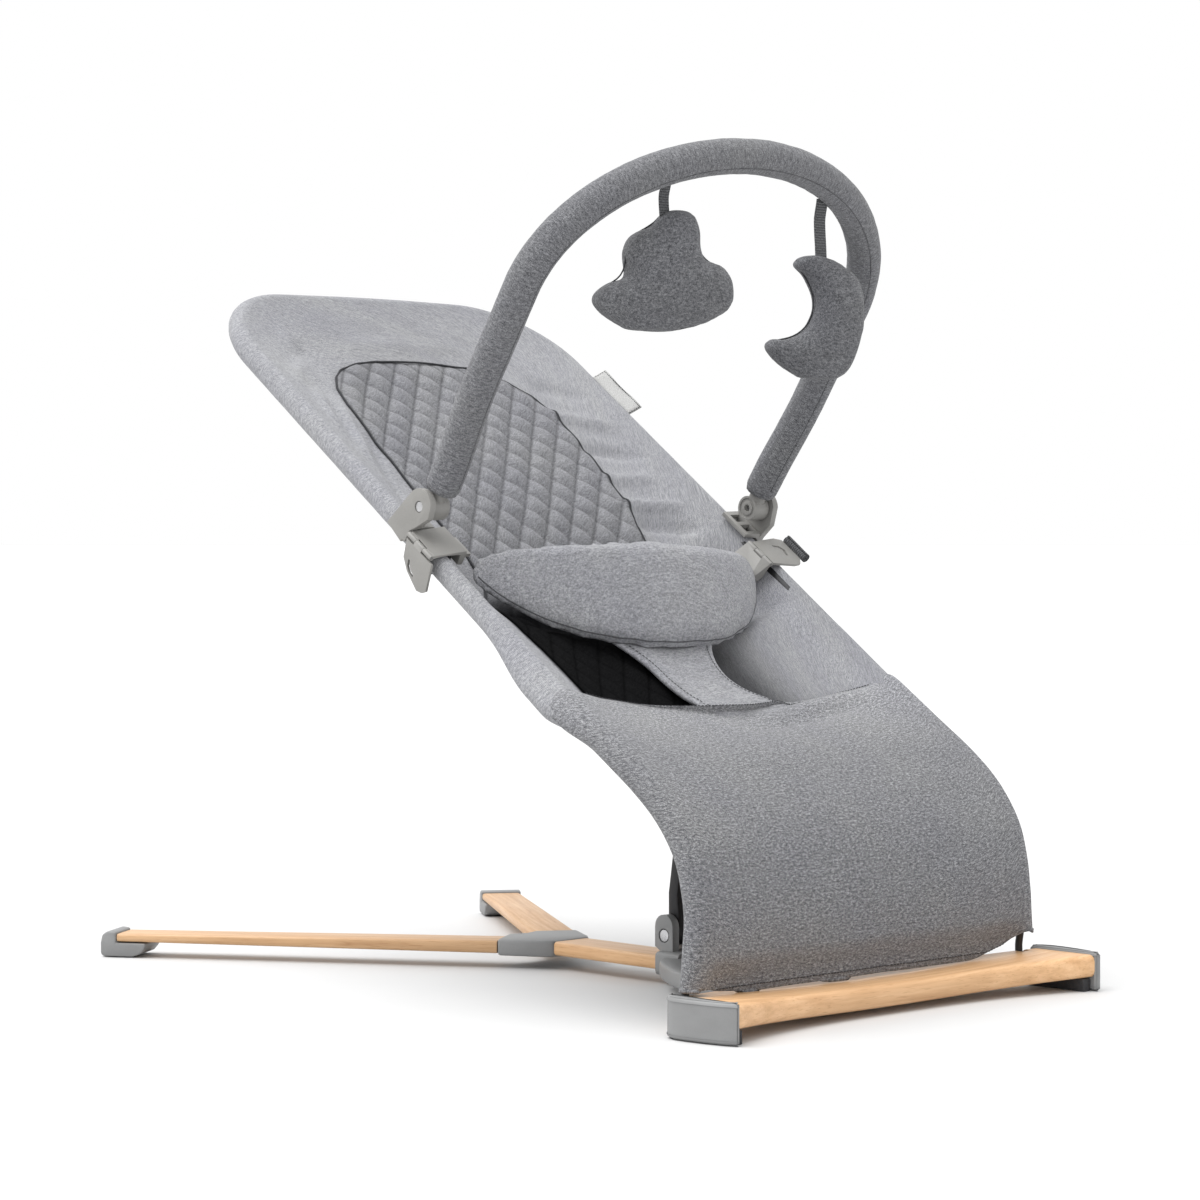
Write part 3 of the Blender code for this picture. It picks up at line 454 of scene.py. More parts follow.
def stitches(name, path, body, pitch=3.4, length=2.3, radius=0.38, normal=SEAT_UP):
    """A run of single stitches lying along a path on the cloth."""
    lift = 0.25
    up = Vector(normal).normalized()
    climb = lengths(path)
    points, faces = [], []
    count = int(climb[-1] / (pitch * MM))
    for k in range(count):
        middle = (k + 0.5) * pitch * MM
        i = min(len(path) - 2, max(0, int(np.searchsorted(climb, middle)) - 1))
        way = (path[i + 1] - path[i]).normalized()
        here = path[i] + way * (middle - climb[i])
        side = way.cross(up).normalized()
        base = len(points)
        for share, size in ((-0.5, 0.3), (-0.35, 1.0), (0.0, 1.15), (0.35, 1.0), (0.5, 0.3)):
            centre = here + way * (share * length * MM) + up * (lift * MM * (1 if size > 0.5 else -0.6))
            for turn in range(6):
                a = turn * math.pi / 3
                points.append(centre + (side * math.cos(a) + up * math.sin(a) * 0.8) * (radius * size * MM))
        faces += [tuple(base + v for v in f) for f in quads(5, 6, True) + end_caps(6, 30)]
    return make(name, points, faces, THREAD, body)


def cord_line(name, path, radius, material, body):
    return tube(name, path, circle(radius * MM, 8), material, body, side=(0.3, 0.5, 0.81))


def subdivide(obj):
    smooth = obj.modifiers.new("smooth_cloth", "SUBSURF")
    smooth.levels = smooth.render_levels = 1


def inflate(obj, voxel, pressure):
    """Swells a closed shape as stuffed cloth: an even remesh, then cloth with pressure, held to a limit."""
    frames = 20
    limit = 5.0 * MM
    bpy.context.view_layer.objects.active = obj
    even = obj.modifiers.new("even_mesh", "REMESH")
    even.mode = "VOXEL"
    even.voxel_size = voxel * MM
    bpy.ops.object.modifier_apply(modifier=even.name)
    mesh = obj.data
    start = np.empty(len(mesh.vertices) * 3, np.float32)
    mesh.vertices.foreach_get("co", start)
    cloth = obj.modifiers.new("stuffing", "CLOTH")
    cloth.settings.use_pressure = True
    cloth.settings.uniform_pressure_force = pressure
    cloth.settings.effector_weights.gravity = 0.0
    cloth.settings.quality = 5
    cloth.settings.tension_stiffness = 12
    cloth.settings.bending_stiffness = 0.4
    cloth.point_cache.frame_start = 1
    cloth.point_cache.frame_end = frames
    for number in range(1, frames + 1):
        bpy.context.scene.frame_set(number)
    solved = obj.evaluated_get(bpy.context.evaluated_depsgraph_get()).data
    puffed = np.empty_like(start)
    solved.vertices.foreach_get("co", puffed)
    obj.modifiers.remove(cloth)
    bpy.context.scene.frame_set(1)
    move = (puffed - start).reshape(-1, 3)
    size = np.linalg.norm(move, axis=1, keepdims=True)
    move *= np.minimum(1.0, limit / np.maximum(size, 1e-9))
    mesh.vertices.foreach_set("co", (start + move.ravel()).astype(np.float32))
    mesh.shade_smooth()
    shade_one(obj)
    soft = obj.modifiers.new("even_cloth", "SMOOTH")
    soft.factor = 0.5
    soft.iterations = 5
    subdivide(obj)


def surface_of(obj):
    """The finished surface of a piece, to lay other pieces on."""
    return bvhtree.BVHTree.FromObject(obj, bpy.context.evaluated_depsgraph_get())


def drawn_on(tree, path, lift):
    """The path moved onto a surface, lifted off it and smoothed."""
    out = []
    for p in path:
        spot, normal, _, _ = tree.find_nearest(p)
        out.append(spot + normal * lift * MM)
    for _ in range(6):
        out = [out[0]] + [(a + 2 * b + c) / 4 for a, b, c in zip(out, out[1:], out[2:])] + [out[-1]]
    return out


# ---------------------------------------------------------------- seat cover
# How far the cloth hangs below the rails along the middle of the seat, as (t, depth).
SAG = (
    (200, 12), (240, 19.5), (300, 19.5), (338, 20), (352, 24), (368, 36), (400, 42),
    (430, 41), (470, 34), (520, 25), (580, 18), (640, 13), (793, 7),
)


def edge_distance(x, t):
    """How far a point of the seat lies inside its rails."""
    side, top = RAIL_X - abs(x), RAIL_TOP_T - t
    if side < CORNER_R and top < CORNER_R:
        return CORNER_R - math.hypot(CORNER_R - side, CORNER_R - top)
    return min(side, top)


def ridge(x, t, start, end, width, height):
    """A fold of the cloth along a line from start to end."""
    dx, dt = end[0] - start[0], end[1] - start[1]
    from_x, from_t = x - start[0], t - start[1]
    long = dx * dx + dt * dt
    share = (from_x * dx + from_t * dt) / long
    off = (from_x * dt - from_t * dx) / math.sqrt(long)
    fade = step(-0.15, 0.25, share) * (1 - step(0.7, 1.15, share))
    return height * fade * math.exp(-((off / width) ** 2))


# Folds of the seat cloth: where each starts and ends as (x, t), its half width and its height.
FOLDS = (
    ((-126, 655), (-152, 560), 6, 4.2),
    ((-142, 665), (-164, 590), 5, 2.8),
    ((-124, 600), (-152, 505), 6, -3.2),
    ((-108, 735), (-150, 700), 6, -2.6),
    ((-125, 722), (-158, 672), 7, 2.2),
    ((112, 650), (162, 612), 6, 4.6),
    ((116, 600), (162, 570), 6, -4.2),
    ((120, 690), (165, 655), 6, -2.6),
    ((112, 525), (160, 500), 5, 5.0),
    ((114, 500), (162, 470), 5, -4.4),
    ((110, 560), (158, 540), 5, 3.2),
    ((104, 470), (150, 452), 5, 2.8),
    ((88, 728), (128, 742), 6, 2.2),
    ((92, 400), (168, 372), 8, -2.6),
    ((-60, 738), (60, 742), 10, 1.4),
)


def sheet_n(x, t):
    """The cloth's height off the rails' plane: over the tube at the edge, hanging towards the middle."""
    inside = max(0.0, edge_distance(x, t))
    depth = SKIN_R + value_at(t, SAG)
    reach = 120.0 if t > 470 or t < 340 else 120.0 - 45.0 * step(340, 372, t) * (1 - step(430, 470, t))
    drop = depth * (1 - (1 - min(1.0, inside / reach)) ** 2)
    folds = 1.25 * sum(ridge(x, t, *f) for f in FOLDS) * step(4, 30, inside)
    broad = noise.noise(Vector((x * 0.02, t * 0.012, 3.1)))
    fine = noise.noise(Vector((x * 0.05, t * 0.03, 7.7)))
    calm = 1 - 0.8 * step(200, 240, t) * (1 - step(350, 390, t))
    return RAIL_N + SKIN_R - drop + folds + (broad * 2.2 + fine * 1.0) * step(6, 50, inside) * calm


# Where the light strip of cloth along the near rail ends and the pocket, with its painted shade, begins, as (t,
# x).
STRIP = ((254, -150), (276, -151), (305, -155), (327, -162), (356, -169), (378, -172), (403, -170))


def hollow_shade(x, t):
    """Painted shade for the pocket under the lap pad, as a value that darkens the cloth: most on the near side,
    less on the far side.
    """
    deep = step(205, 250, t) * (1 - step(395, 450, t))
    turn = value_at(t, STRIP)
    near = step(turn - 5, turn + 3, x) * (1 - step(8, 34, x))
    far = 0.8 * step(20, 30, x) * (1 - step(52, 122, x)) * (1 - step(330, 400, t))
    return 1 - deep * max(0.965 * near, far)


def perimeter():
    """Stations up one rail and to the middle of the top: the edge point (x, t) and the way out from it."""
    out = []
    round_x, round_t = RAIL_X - CORNER_R, RAIL_TOP_T - CORNER_R
    for k in range(100):
        out.append((RAIL_X, 205 + (round_t - 205) * k / 99, 1.0, 0.0))
    for k in range(1, 19):
        cos, sin = math.cos(math.pi / 2 * k / 18), math.sin(math.pi / 2 * k / 18)
        out.append((round_x + CORNER_R * cos, round_t + CORNER_R * sin, cos, sin))
    for k in range(1, 13):
        out.append((round_x * (1 - k / 12), RAIL_TOP_T + 2.0 * math.sin(math.pi / 2 * k / 12), 0.0, 1.0))
    return out


def loose_hem(t, turn):
    """How far the cover stands off the rail's outer lower side, near its bottom corner."""
    return 1.15 * step(208, 245, t) * (1 - step(262, 345, t)) * math.exp(-(((turn + 0.55) / 0.75) ** 2))


def seat_cover():
    """The seat cloth with its sleeve round the tube, in rows that run in from each station of the edge."""
    marks = perimeter()
    first_fan = next(i for i, m in enumerate(marks) if m[1] > 590)
    wrap = [math.radians(-150 + 240 * k / 12) for k in range(13)]
    inward = [(k / 44) ** 1.08 for k in range(1, 45)]
    halves = []
    for hand in (-1, 1):
        half, tones = [], []
        for i, (x, t, ox, ot) in enumerate(marks):
            fan = max(0.0, (i - first_fan) / (len(marks) - 1 - first_fan))
            end_t = t if i < first_fan else 590 + 95 * fan
            row, tone = [], []
            for a in wrap:
                pucker = 1 + 0.012 * noise.noise(Vector((t * 0.05 + x * 0.03, a * 1.5, hand)))
                pucker += loose_hem(t, a)
                out, up = SKIN_R * math.cos(a) * pucker, SKIN_R * math.sin(a) * pucker
                row.append(seat(hand * (x + ox * out), t + ot * out, RAIL_N + up))
                tone.append(1.0)
            for f in inward:
                px, pt = x * (1 - f), t + (end_t - t) * f
                row.append(seat(hand * px, pt, sheet_n(hand * px, pt)))
                # Painted shade: the pocket's cloth gets its painted shade value here.
                tone.append(hollow_shade(hand * px, pt))
            half.append(row)
            tones.append(tone)
        halves.append((half, tones))
    rows = halves[0][0] + list(reversed(halves[1][0]))[1:]
    tones = halves[0][1] + list(reversed(halves[1][1]))[1:]
    cover = cloth_grid("seat_cover", rows, SEAT_CLOTH, "seat", [v for row in tones for v in row])
    weld_first(cover)
    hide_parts("back_panel", "edge_sleeve")


# ---------------------------------------------------------------- quilted insert
# The insert's half width up the seat, as (t, half width).
INSERT = (
    (238, 22), (260, 27), (295, 39), (340, 60), (400, 84), (460, 104), (520, 115), (600, 118),
    (650, 117), (675, 111), (695, 98), (706, 86), (713, 66), (716, 40), (717.5, 0),
)


def insert_edge(t, hand):
    """The insert's edge on one side: wider in the pocket on the near side."""
    half = value_at(t, INSERT)
    if hand > 0:
        return half
    share = step(237, 246, t) * (1 - step(365, 450, t))
    return -half * (1 - share) + (value_at(t, STRIP) + 4) * share


def quilt_cell(x, t):
    """How far a point lies from each family of stitch lines, from 0 on a line to 1 between two."""
    a = (x - QUILT_SLOPE * t) / QUILT_PITCH - QUILT_PHASE
    b = (x + QUILT_SLOPE * t) / QUILT_PITCH + QUILT_PHASE
    return abs(math.sin(math.pi * a)), abs(math.sin(math.pi * b))


def quilt_shade(x, t, inside):
    """Painted shade: the stitch lines sit in shadow, one family deeper than the other, the cloth darkens within
    3.5 mm of the outer seam, and the whole quilt is painted at 0.73 of the cloth's tone.
    """
    a, b = quilt_cell(x, t)
    lines = 1 - 0.42 * math.exp(-((a / 0.17) ** 2)) - 0.24 * math.exp(-((b / 0.2) ** 2))
    return 0.73 * max(0.3, lines) * (0.45 + 0.55 * step(0, 3.5, inside))


def quilt_height(x, t, inside):
    """Puffed diamonds between two crossing sets of stitch lines, flattening to the outer seam."""
    a, b = quilt_cell(x, t)
    cell = a**0.6 * b**0.6
    roll = math.sqrt(max(0.0, min(1.0, inside / 6.0)))
    swell = max(0.0, min(1.0, inside / 16.0)) ** 0.7
    full = 0.35 + 0.65 * step(340, 400, t)
    return 0.6 + roll * 1.2 + swell * 5.0 * cell * full


def quilted_insert():
    """The quilted cloth laid over the seat, with a corded seam round its upper part."""
    stations = [238 + 2.0 * k for k in range(226)]
    stations += [690 + 27.4 * math.sin(math.pi / 2 * k / 26) for k in range(27)]
    cols = 121
    rows, tones = [], []
    for t in stations:
        low, high = insert_edge(t, -1) - 0.4, insert_edge(t, 1) + 0.4
        row = []
        for j in range(cols):
            s = -1 + 2 * j / (cols - 1)
            x = low + (high - low) * (1 + math.sin(s * math.pi / 2) * 0.25 + s * 0.75) / 2
            inside = min(x - low, high - x, (717.4 - t) * 0.8 if t > 640 else 99, t - 236)
            row.append(seat(x, t, sheet_n(x, t) + quilt_height(x, t, inside)))
            # Painted shade: the pocket's shade and the quilting's shade darken the insert here.
            tones.append(hollow_shade(x, t) * quilt_shade(x, t, inside))
        rows.append(row)
    insert = cloth_grid("quilted_pad", rows, SEAT_CLOTH, "seat", tones, thick=1.0)
    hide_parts("quilted_insert")
    seam = []
    for hand in (-1, 1):
        side = [(insert_edge(t, hand), t) for t in stations if t > 400]
        seam += side if hand < 0 else list(reversed(side))[1:]
    path = [seat(x, t, sheet_n(x, t) + 1.1 + 1.3 * step(700, 715, t)) for x, t in seam]
    cord_line("insert_seam", path, 0.95, THREAD, "seat")


# ---------------------------------------------------------------- front panel
def low_path():
    """The rails' low front curve from the bottom hem up to the pocket's hem, as (y, z)."""
    marks = [(57.4, 24), (57, 40), *RAIL_LOW, seat_yz(243, RAIL_N)]
    return through([(0, y, z) for y, z in marks], 7)


def hem_level(x):
    """The bottom hem's height: low behind the crossbar, cut back round the rods, less on the near side."""
    cut = 9.0 * step(120, 168, abs(x)) + 10.0 * step(160, 182, abs(x))
    return 26.0 + cut * (0.35 if x < 0 else 1.0)


def panel_waves(x, rise, below_top):
    """Slack in the panel: broad and fine waves, and two slanting creases under the pocket on the far side."""
    broad = 1.6 * noise.noise(Vector((x * 0.012, rise * 0.02, 1.3)))
    fine = 0.8 * noise.noise(Vector((x * 0.03, rise * 0.05, 9.1)))
    raised = step(0, 60, x) * (1 - step(120, 165, x))
    sunk = step(-60, 30, x) * (1 - step(100, 150, x))
    creases = 4.2 * math.exp(-((26 - below_top - 0.10 * x) / 9) ** 2) * raised
    creases -= 3.2 * math.exp(-((44 - below_top - 0.14 * x) / 8) ** 2) * sunk
    return broad + fine + creases


def front_panel():
    """The panel from the bottom hem up over the rails' bend to the pocket's hem, wrapped round both rails."""
    path = low_path()
    climb = lengths(path)
    wrap = [math.radians(-150 + 240 * k / 10) for k in range(11)]
    cols = 56
    radius = SKIN_R + 0.9
    rows, tones = [], []
    for rise, (here, tangent, _, _) in zip(climb, frames_of(path, (1, 0, 0))):
        share = rise / climb[-1]
        out = Vector((0, -tangent.z, tangent.y))
        half = RAIL_X + 5 * max(0.0, 1 - rise / 60)
        loose = 0.75 * step(0.80, 0.95, share)
        sag = 2.5 + 15.5 * step(0.62, 1.0, share)

        def above_hem(x, p):
            return at(x, p.y, max(p.z, hem_level(x)) if share < 0.16 else p.z)

        def wrapped(hand, a):
            off = radius * (1 + loose * math.exp(-(((a + 0.55) / 0.75) ** 2)))
            return above_hem(hand * (half + off * math.cos(a)), here + out * (off * math.sin(a)))

        row = [wrapped(-1, a) for a in wrap]
        for j in range(1, cols):
            s = -1 + 2 * j / cols
            x = s * half
            inside = 1 - abs(s)
            belly = 1 - (1 - min(1.0, inside / 0.8)) ** 2
            waves = panel_waves(x, rise, climb[-1] - rise) * step(0, 0.12, inside)
            drop = -12 * math.exp(-((x + 6) / 58) ** 2) * step(0.80, 1.0, share)
            tuck = 5.0 * step(44, 66, x) * step(0.92, 1.0, share)
            p = here + out * (radius - sag * belly - tuck + waves) + tangent * drop
            p.y += 8.0 * (1 - step(36, 58, p.z)) * step(0, 0.1, inside)
            row.append(above_hem(x, p))
        row += [wrapped(1, a) for a in reversed(wrap)]
        rows.append(row)
        # Painted light and shade: the panel's upper part is painted lighter, more on the far side, and its
        # lowest part darker.
        for j in range(len(row)):
            painted_light = 0.28 + 0.14 * step(0.5, 0.8, j / len(row))
            tones.append(1 + painted_light * step(0.62, 1.0, share) - 0.06 * (1 - step(0.0, 0.3, share)))
    panel = cloth_grid("front_panel", rows, APRON_CLOTH, "seat", tones, thick=2.0)
    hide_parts("front_apron")
    for word, back in (("top", -4), ("bottom", 3)):
        line = [p + Vector((0, -0.0007, 0.0004)) for p in rows[back][13:-13]]
        stitches(word + "_hem_stitches", line, "seat", normal=(0, -0.8, 0.6))
    pocket_lining(path, climb)
    return panel


def pocket_lining(path, climb):
    """The lining that hangs behind the panel, painted near black as the pocket's shade."""
    rows = []
    for rise, (here, tangent, _, _) in zip(climb, frames_of(path, (1, 0, 0))):
        share = rise / climb[-1]
        if not 0.25 < share < 0.97:
            continue
        out = Vector((0, -tangent.z, tangent.y))
        row = []
        for j in range(25):
            s = -1 + 2 * j / 24
            p = here - out * (9 + 26 * (1 - s * s) * step(0.4, 1.0, share))
            row.append(at(s * 160, p.y, p.z))
        rows.append(row)
    lining = cloth_grid("pocket_lining", rows, PAINTED_SHADE_LINING, "seat")
    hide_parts("front_lining")


# ---------------------------------------------------------------- lap pad and stem
# The pad's half width, and how far its face leans.
PAD_HALF = 161.0
PAD_LEAN = math.radians(-18)


def pad_point(s, rise, off):
    """A point of the lap pad: s runs across it from -1 to 1, rise up its face, and off towards the front."""
    reach = abs(s)
    cos, sin = math.cos(PAD_LEAN), math.sin(PAD_LEAN)
    y = 273 + 62 * reach**2
    z = 312 + 15 * reach**3 - 3 * s
    return at(PAD_HALF * s, y - off * cos - rise * sin, z + rise * cos - off * sin)


def pad_high(s):
    """Half the pad's height at s."""
    return 48.0 * max(0.0, 1 - abs(s) ** 2.5) ** 0.62 + 3.5


def lap_pad():
    """The crescent pad across the lap, stuffed, with a piped seam along each lower edge."""
    rows = []
    count = 41
    for i in range(count):
        s = math.sin(math.pi / 2 * (-1 + 2 * i / (count - 1)))
        high = pad_high(s)
        thick = 7.5 * max(0.15, 1 - abs(s) ** 4) ** 0.5
        ring = []
        for c, d in circle(1.0, 24):
            square = max(abs(c), abs(d)) ** 0.35
            ring.append(pad_point(s, high * d, thick * c / square))
        rows.append(ring)
    points = [p for row in rows for p in row]
    pad = make("lap_pad", points, quads(count, 24, True) + end_caps(24, len(points)), PAD_CLOTH)
    inflate(pad, voxel=4.5, pressure=4.0)
    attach(pad, "seat")
    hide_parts("waist_pad")
    skin = surface_of(pad)
    for name, off, low in (("pad_seam_front", 10, 5.5), ("pad_seam_back", 2, 0.5)):
        path = []
        for k in range(121):
            s = -0.985 + 1.97 * k / 120
            path.append(pad_point(s, -pad_high(s) + low, off))
        cord_line(name, drawn_on(skin, path, -0.15), 0.7, PIPING, "seat")


# The strap's run as (t, height off the rails' plane, left edge, right edge).
STEM = (
    (336, 80.5, -70, 66),
    (322, 80, -62, 52),
    (308, 79.5, -54, 40),
    (292, 79, -48, 32),
    (274, 79, -46, 29),
    (258, 80, -44, 33),
    (246, 81.5, -42, 42),
    (236, 84, -38, 52),
    (226, 87, -32, 62),
    (214, 89, -24, 70),
)


def crotch_stem(panel):
    """The strap from the lap pad down to the front panel, its foot sewn flat onto the panel."""
    seam_in = 8.5
    marks = through([(m[0], m[1], 0) for m in STEM], 5)
    sides = through([(m[2], m[3], 0) for m in STEM], 5)
    skin = surface_of(panel)
    cols = 25
    rows, tones = [], []
    for mark, side in zip(marks, sides):
        t, n = mark.x, mark.y
        foot = 1 - step(228, 244, t)
        ring = []
        for j in range(2 * cols - 2):
            under = j >= cols
            k = j if not under else 2 * cols - 2 - j
            s = -1 + 2 * k / (cols - 1)
            half = (side.y - side.x) / 2
            x = (side.x + side.y) / 2 + s * half
            inside = (1 - abs(s)) * half
            rounded = math.sqrt(max(0.0, 1 - abs(s) ** 8))
            thick = (3.2 * (1 - foot) + 0.5 * foot) * rounded + 0.2
            hem = 0.7 * math.exp(-(((inside - 3.0) / 2.0) ** 2))
            groove = -0.8 * math.exp(-(((inside - seam_in) / 1.2) ** 2)) * (1 - foot)
            cup = 2.2 * s * s * (1 - foot)
            off = cup + (-thick if under else thick + hem + groove)
            here = seat(x, t, n + off)
            if foot:
                spot, normal, _, _ = skin.find_nearest(here)
                sink = 2.2 * (1 - step(214, 230, t))
                lifted = spot + normal * ((0.25 if under else 0.5 + thick) - sink) * MM
                here = here.lerp(lifted, foot)
            ring.append(here)
            # Painted shade: each seam's groove is painted 30 % darker; the foot is also 8 % darker.
            tones.append((1.0 - 0.3 * math.exp(-(((inside - seam_in) / 0.9) ** 2))) * (1 - 0.08 * foot))
        rows.append(ring)
    size = len(rows[0])
    points = [p for row in rows for p in row]
    faces = [tuple(reversed(f)) for f in quads(len(rows), size, True) + end_caps(size, len(points))]
    stem = make("crotch_strap", points, faces, PAD_CLOTH, "seat", shade=tones)
    subdivide(stem)
    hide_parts("crotch_stem")
    for hand, col in (("left", 2), ("right", cols - 3)):
        line = [row[col] + Vector((0, -0.0003, 0.0003)) for row in rows[:-8]]
        stitches("stem_stitches_" + hand, line, "seat", radius=0.3)


# ---------------------------------------------------------------- label, buckle straps
def label_point(t, out, wave=0.0):
    """A point of the tag, which stands up and out from the far rail."""
    return seat(RAIL_X + 3.5 + out * 0.78, t, RAIL_N + 8.6 + out * 0.6 + wave)


def label():
    """A folded woven tag, left blank, sewn into the seat's far edge."""
    low, long, wide = 626, 58, 14
    rows = []
    for k in range(13):
        wave = 0.5 * math.sin(k * 0.7)
        rows.append([label_point(low + long * k / 12, wide * j / 6, wave) for j in range(7)])
    tag = cloth_grid("woven_label", rows, LABEL, "seat", thick=0.9)
    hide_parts("blank_tag")
    edge = [label_point(t, out) for t, out in ((627, 0.5), (627, 12.8), (683, 12.8), (683, 0.5))]
    line = [a.lerp(b, k / 20) for a, b in zip(edge, edge[1:]) for k in range(20)]
    stitches("label_stitches", line, "seat", pitch=2.4, length=1.9, radius=0.4, normal=(-0.3, -0.4, 0.8))


def rail_straps():
    """The straps that hold the buckles, each wrapped once round its rail."""
    wide = 18.0
    for name, hand, low in (("left", -1, 421.0), ("right", 1, 404.0)):
        rows = []
        for k in range(7):
            t = low + wide * k / 6
            ring = []
            for j in range(33):
                a = 2 * math.pi * j / 32
                radius = 11.0 + 0.35 * math.sin(3 * a + k * 0.4)
                ring.append(seat(hand * RAIL_X + radius * math.cos(a), t, RAIL_N + radius * math.sin(a)))
            rows.append(ring)
        strap = cloth_grid("buckle_strap_" + name, rows, STRAP, "seat", thick=1.1)
        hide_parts("rail_strap_" + name)


def rolled_strap():
    """The free end of the right strap, rolled up on itself."""
    middle_x, middle_n = 212.6, RAIL_N + 16
    turns = []
    for k in range(45):
        a = 2 * math.pi * 2.3 * k / 44
        radius = 0.9 + 2.7 * k / 44
        turns.append((radius * math.cos(a), radius * math.sin(a)))
    rows = []
    for j in range(9):
        t = 398 + 28 * j / 8
        rows.append([seat(middle_x + a, t, middle_n + b) for a, b in turns])
    roll = cloth_grid("rolled_strap", rows, TAPE, "buckle_lever_right", thick=0.8)
    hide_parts("strap_roll")


# ---------------------------------------------------------------- toy bar sleeve and toys
# The lower part of the toy bar's leg as (x, rise), before its arch.
TOY_LEG = (
    (180.3, 15.5), (180.6, 30), (181.5, 45), (183, 62), (185, 80),
    (186.3, 100), (187, 120), (187, 140), (187, 160), (187, 180),
)


def toy_line():
    """The toy bar's middle line, from the left end of its sleeve to the right."""
    half = list(TOY_LEG)
    for k in range(31):
        a = math.pi / 2 * k / 30
        half.append((TOY_HALF * math.cos(a), TOY_SPRING + (TOY_RISE - TOY_SPRING) * math.sin(a)))
    left = [toy(-x, h) for x, h in half]
    right = [toy(x, h) for x, h in reversed(half[:-1])]
    return through(left + right, 3)


def bar_sleeve():
    """The padded sleeve of the toy bar, gathered at its ends, with its seam underneath."""
    path = toy_line()
    climb = lengths(path)
    total = climb[-1]

    def swell(i, j):
        end = min(climb[i], total - climb[i])
        turn = j * 0.26
        broad = 0.020 * noise.noise(Vector((climb[i] * 42, turn * 1.2, 0)))
        fine = 0.014 * noise.noise(Vector((climb[i] * 130, turn * 2, 5)))
        gather = 0.022 * math.sin(turn * 9) * math.exp(-end / 0.012)
        close = 1 - 0.14 * math.exp(-end / 0.0022)
        return (1 + (broad + fine) + gather) * close

    section = circle(TOY_SLEEVE_R * MM, 36)
    sleeve = tube("bar_sleeve", path, section, BAR_CLOTH, "toy_bar", caps=False, swell=swell)
    wall = sleeve.modifiers.new("padding", "SOLIDIFY")
    wall.thickness = 0.0045
    wall.offset = -1
    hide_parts("toy_bar_sleeve")
    frames = frames_of(path, (1, 0, 0))
    seam = []
    for here, _, across, normal in frames:
        seam.append(here + (across * 0.25 - normal * 0.97).normalized() * (TOY_SLEEVE_R - 0.1) * MM)
    cord_line("bar_sleeve_seam", seam[2:-2], 0.45, PIPING, "toy_bar")
    for word, end, inward in (("left", 0, 1), ("right", -1, -1)):
        here, tangent, across, normal = frames[end]
        middle = here + tangent * inward * 0.5 * MM
        ring = []
        for k in range(33):
            a = 2 * math.pi * k / 32
            ring.append(middle + (across * math.cos(a) + normal * math.sin(a)) * (TOY_SLEEVE_R - 2.9) * MM)
        cord_line("sleeve_binding_" + word, ring, 0.7, BLACK, "toy_bar")


# The toys' outlines as (across, down) from the foot of their ribbons, and how far the toys hang turned.
CLOUD = (
    (-9, -2), (2, -12), (22, -11), (30, 0), (33, 13), (37, 24), (48, 29), (57, 39), (60, 52), (56, 66),
    (36, 78), (14, 84), (-4, 87), (-26, 86), (-48, 77), (-61, 66), (-60, 57), (-50, 46), (-38, 40),
    (-37, 26), (-33, 13), (-23, 4),
)
MOON = (
    (-24, 2), (-6, -4), (14, 2), (30, 12), (38, 24), (41, 44), (38, 64), (31, 84), (20, 98), (-2, 103),
    (-22, 99), (-40, 89), (-51, 78), (-47, 70), (-32, 67), (-18, 59), (-10, 46), (-9, 30), (-15, 16),
)
TOY_TURN = math.radians(20)


def is_inside(segments, x, z):
    odd = False
    for (ax, az), (bx, bz) in segments:
        if (az > z) != (bz > z) and x < (bx - ax) * (z - az) / (bz - az) + ax:
            odd = not odd
    return odd


def gap_to(segments, x, z):
    """How far a point lies from the nearest segment of an outline."""
    best = 1e9
    for (ax, az), (bx, bz) in segments:
        dx, dz = bx - ax, bz - az
        s = min(1.0, max(0.0, ((x - ax) * dx + (z - az) * dz) / (dx * dx + dz * dz)))
        best = min(best, math.hypot(x - ax - s * dx, z - az - s * dz))
    return best


def plush(name, outline, centre, drop_z, depth):
    """A stuffed shape: two outline panels, domed from their shared seam."""
    line = [(p.x, p.y) for p in through([(a, -b, 0) for a, b in outline], 4, closed=True)]
    xs, zs = [p[0] for p in line], [p[1] for p in line]
    cell = 3.0
    segments = list(zip(line, line[1:] + line[:1]))
    cols = int((max(xs) - min(xs)) / cell) + 3
    rows = int((max(zs) - min(zs)) / cell) + 3
    index, points, faces = {}, [], []
    for i in range(rows):
        for j in range(cols):
            x, z = min(xs) - cell + j * cell, min(zs) - cell + i * cell
            if is_inside(segments, x, z):
                share = min(1.0, (gap_to(segments, x, z) + 1.0) / (depth * 1.35))
                dome = depth * math.sqrt(max(0.0, 1 - (1 - share) ** 2))
                index[i, j] = len(points)
                points.append((x, -dome, z))
                points.append((x, dome, z))
    for i, j in index:
        corners = [index.get((i, j)), index.get((i, j + 1)), index.get((i + 1, j + 1)), index.get((i + 1, j))]
        if None in corners:
            continue
        faces.append(tuple(corners))
        faces.append(tuple(c + 1 for c in reversed(corners)))
    used = dict.fromkeys((a, b) for f in faces for a, b in zip(f, f[1:] + f[:1]))
    for a, b in used:
        if (b, a) not in used and a % 2 == 0:
            faces.append((b, a, a + 1, b + 1))
    cos, sin = math.cos(TOY_TURN), math.sin(TOY_TURN)

    def hung(x, y, z):
        return at(centre[0] + x * cos + y * sin, centre[1] - x * sin + y * cos, drop_z + z)

    shape = make(name, [hung(*point) for point in points], faces, TOY_CLOTH)
    inflate(shape, voxel=3.2, pressure=3.0)
    edge = [hung(x, 0.0, z) for x, z in line]
    return shape, edge + edge[:1]


